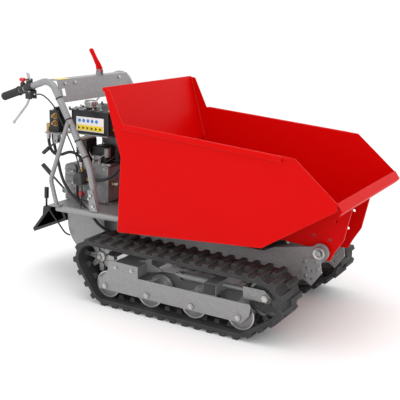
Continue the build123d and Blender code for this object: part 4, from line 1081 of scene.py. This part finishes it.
# %% Gearbox and pump details
bm = bmesh.new()
for z in (388, 430, 472, 514):
    for y in (-132, 72):
        add_hex(bm, at(-612, y, z), (-1, 0, 0), 9, 5)
for x in (-600, -560):
    for z in (400, 455, 510):
        add_hex(bm, at(x, -145, z), (0, -1, 0), 8, 5)
make_piece("gearbox_bolts", bm, "chassis", zinc)
end_plate = ((0, 0), (26, 0), (28, 3), (28, 5), (18, 7), (0, 7))
bm = bmesh.new()
add_turned(bm, end_plate, at(crank_x, -190, crank_z), (0, -1, 0), 32)
make_piece("pump_end_plate", bm, "chassis", cast_dark)

# %% [markdown]
# ## Frame hardware
# Bolt heads with washers hold the tubes, beams and brackets. Collecting the heads of one area in one bmesh keeps the
# number of objects small. Weld beads join the cross tubes to the beams.

# %% Frame bolts and welds
beam_bolts = ((-140, 182), (-57, 182))
handle_bolts = ((-344, 440), (-312, 398))
front_bolts = ((628, 285), (676, 290), (640, 262), (684, 262), (634, 226))
bolt_rows = ((beam_bolts, 380, 13, 7), (handle_bolts, 301, 10, 5), (front_bolts, 136, 10, 6))
bm = bmesh.new()
for sign in (-1, 1):
    for places, y, across, height in bolt_rows:
        for x, z in places:
            add_hex(bm, at(x, sign * y, z), (0, sign, 0), across, height)
make_piece("frame_hardware", bm, "chassis", zinc)

rear_tube, front_tube = (-160, -32), (293, 348)
tube_low, tube_high = 153, 199
bm = bmesh.new()
for sign in (-1, 1):
    inner, outer = sign * 130.5, sign * 373.6
    for x in (*rear_tube, *front_tube):
        add_bead(bm, at(x, inner, tube_low + 1), at(x, inner, tube_high - 1), 2.4)
    for low_x, high_x in (rear_tube, front_tube):
        add_bead(bm, at(high_x, outer, tube_low), at(low_x, outer, tube_low), 2.2)
make_piece("frame_welds", bm, "chassis", grey_paint, 60)

# %% [markdown]
# ## Guard plates
# Below the deck, a thin plate on each side shields the drive. Its lower rear corner is cut to a large round that
# clears the ground. Each starts as a thin block, and two of its edges are beveled in many steps to make the rounds.


# %% Guard plates with a round corner
def runs_along(edge, x, z, sign):
    """Whether an edge lies on the line along Y through x and z, on one side of the machine."""
    line = at(x, 0, z)
    return all(
        abs(vert.co.x - line.x) < 1e-5 and abs(vert.co.z - line.z) < 1e-5 and vert.co.y * sign > 0
        for vert in edge.verts
    )


guard_rear, guard_front, guard_low, guard_high = -566, -352, 132, 366
guard_rounds = ((guard_rear, 140, 14), (guard_front, 40, 6))
bm = bmesh.new()
for sign in (-1, 1):
    near, far = sorted((sign * 176, sign * 180))
    add_brick(bm, (guard_rear, near, guard_low), (guard_front, far, guard_high))
    for x, radius, steps in guard_rounds:
        edges = [edge for edge in bm.edges if runs_along(edge, x, guard_low, sign)]
        round_edges(bm, edges, radius, steps)
guards = make_piece("guard_plates_rounded", bm, "chassis", grey_paint)
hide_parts("guard_plates")

# %% [markdown]
# ## Tube caps
# The open ends of the cross tubes are closed with pressed plastic caps. Each is a rounded block with a smaller,
# raised block on it.

# %% Tube caps
bm = bmesh.new()
for sign in (-1, 1):
    for low_x, high_x in (front_tube, rear_tube):
        for inset, inner, outer, rounding in ((1, 371, 376, 2), (9, 376, 377.6, 0.7)):
            near, far = sorted((sign * inner, sign * outer))
            low = (low_x + inset, near, tube_low - 1 + inset)
            high = (high_x - inset, far, tube_high + 1 - inset)
            add_brick(bm, low, high, rounding)
make_piece("tube_caps", bm, "chassis", black_plastic)

# %% [markdown]
# ## Pivot rings and tension nuts
# The tip pivots carry a bright ring, and each track's tension rod ends in a washer, a nut and a thread. A fine thread
# can be modelled as a helix, but at this size a spun saw-tooth profile looks the same and closes by itself.

# %% Pivot rings and tension nuts
bm = bmesh.new()
pivot_ring = ((13, 20), (25, 20), (26.5, 21.5), (26.5, 25), (24, 27), (16, 27), (13, 25), (13, 20))
for sign in (-1, 1):
    add_turned(bm, pivot_ring, at(689, sign * 130, 334), (0, sign, 0), 36)
make_piece("pivot_rings", bm, "chassis", zinc)

tension_washer = ((0, 0), (17, 0), (17, 3), (9, 4), (9, 6), (0, 6))
crest, root, thread_start, half_pitch = 8.4, 7.4, 14, 1.25
thread = [(crest if step % 2 else root, thread_start + step * half_pitch) for step in range(20)]
thread = [(0, thread_start), *thread, (0, 38)]
rearward = (-1, 0, 0)
bm = bmesh.new()
for sign in (-1, 1):
    place = at(163, sign * track_middle, 183)
    add_turned(bm, tension_washer, place, rearward)
    add_hex(bm, place - at(5, 0, 0), rearward, 26, 10)
    add_turned(bm, thread, place, rearward, 24)
make_piece("tension_nuts", bm, "chassis", zinc)

# %% [markdown]
# ## Stays under the step
# A bent rod on each side holds the step from below. It is a smooth line with a round section, which bends as a real
# rod does.

# %% Stays under the step
for side, sign in both_sides:
    y = sign * 200
    stay = ((-668, y, 330), (-650, y, 306), (-596, y, 250), (-566, y, 216), (-540, y, 215))
    make_wire(f"step_stay_{side}", (stay,), 4, "chassis", black_paint)

# %% [markdown]
# ## Tip cylinder details
# A plated gland closes the barrel where the rod leaves it, and a grease nipple stands on the rod's eye. The gland is
# spun about the line from the barrel's pin to the rod's, and each part rides on its own body.

# %% Tip cylinder details
barrel_pin = at(40, 0, 175)
tilt = atan2(165, 499)
along = Vector((cos(tilt), 0, sin(tilt)))
gland = ((12.6, 0), (22, 0), (22, 6), (19, 8), (12.6, 8), (12.6, 0))
bm = bmesh.new()
add_turned(bm, gland, barrel_pin + along * 0.4706, along, 32)
make_piece("cylinder_gland", bm, "lift_barrel", zinc)
nipple = ((0, 0), (3.5, 0), (3.5, 4), (2, 6), (0, 7))
bm = bmesh.new()
add_turned(bm, nipple, at(539, 0, 359), (0, 0, 1), 12)
make_piece("rod_grease_nipple", bm, "lift_rod", zinc)

# %% [markdown]
# ## Floor
# A plain pale floor gives the machine its soft contact shadow. It is one large face that belongs to the stage and
# not to the machine.

# %% Floor
floor_finish = Finish("studio_floor")
floor_cloud = floor_finish.noise(0.6, 2)
floor_colour = floor_finish.mix(floor_cloud * 0.1, (0.96, 0.96, 0.96), (0.94, 0.94, 0.94))
floor_material = floor_finish.set(Base_Color=floor_colour, Roughness=0.9)
bm = bmesh.new()
bmesh.ops.create_grid(bm, x_segments=1, y_segments=1, size=60)
floor_mesh = bpy.data.meshes.new("floor")
bm.to_mesh(floor_mesh)
bm.free()
floor_mesh.materials.append(floor_material)
floor = stand("floor", floor_mesh)
print("floor laid")
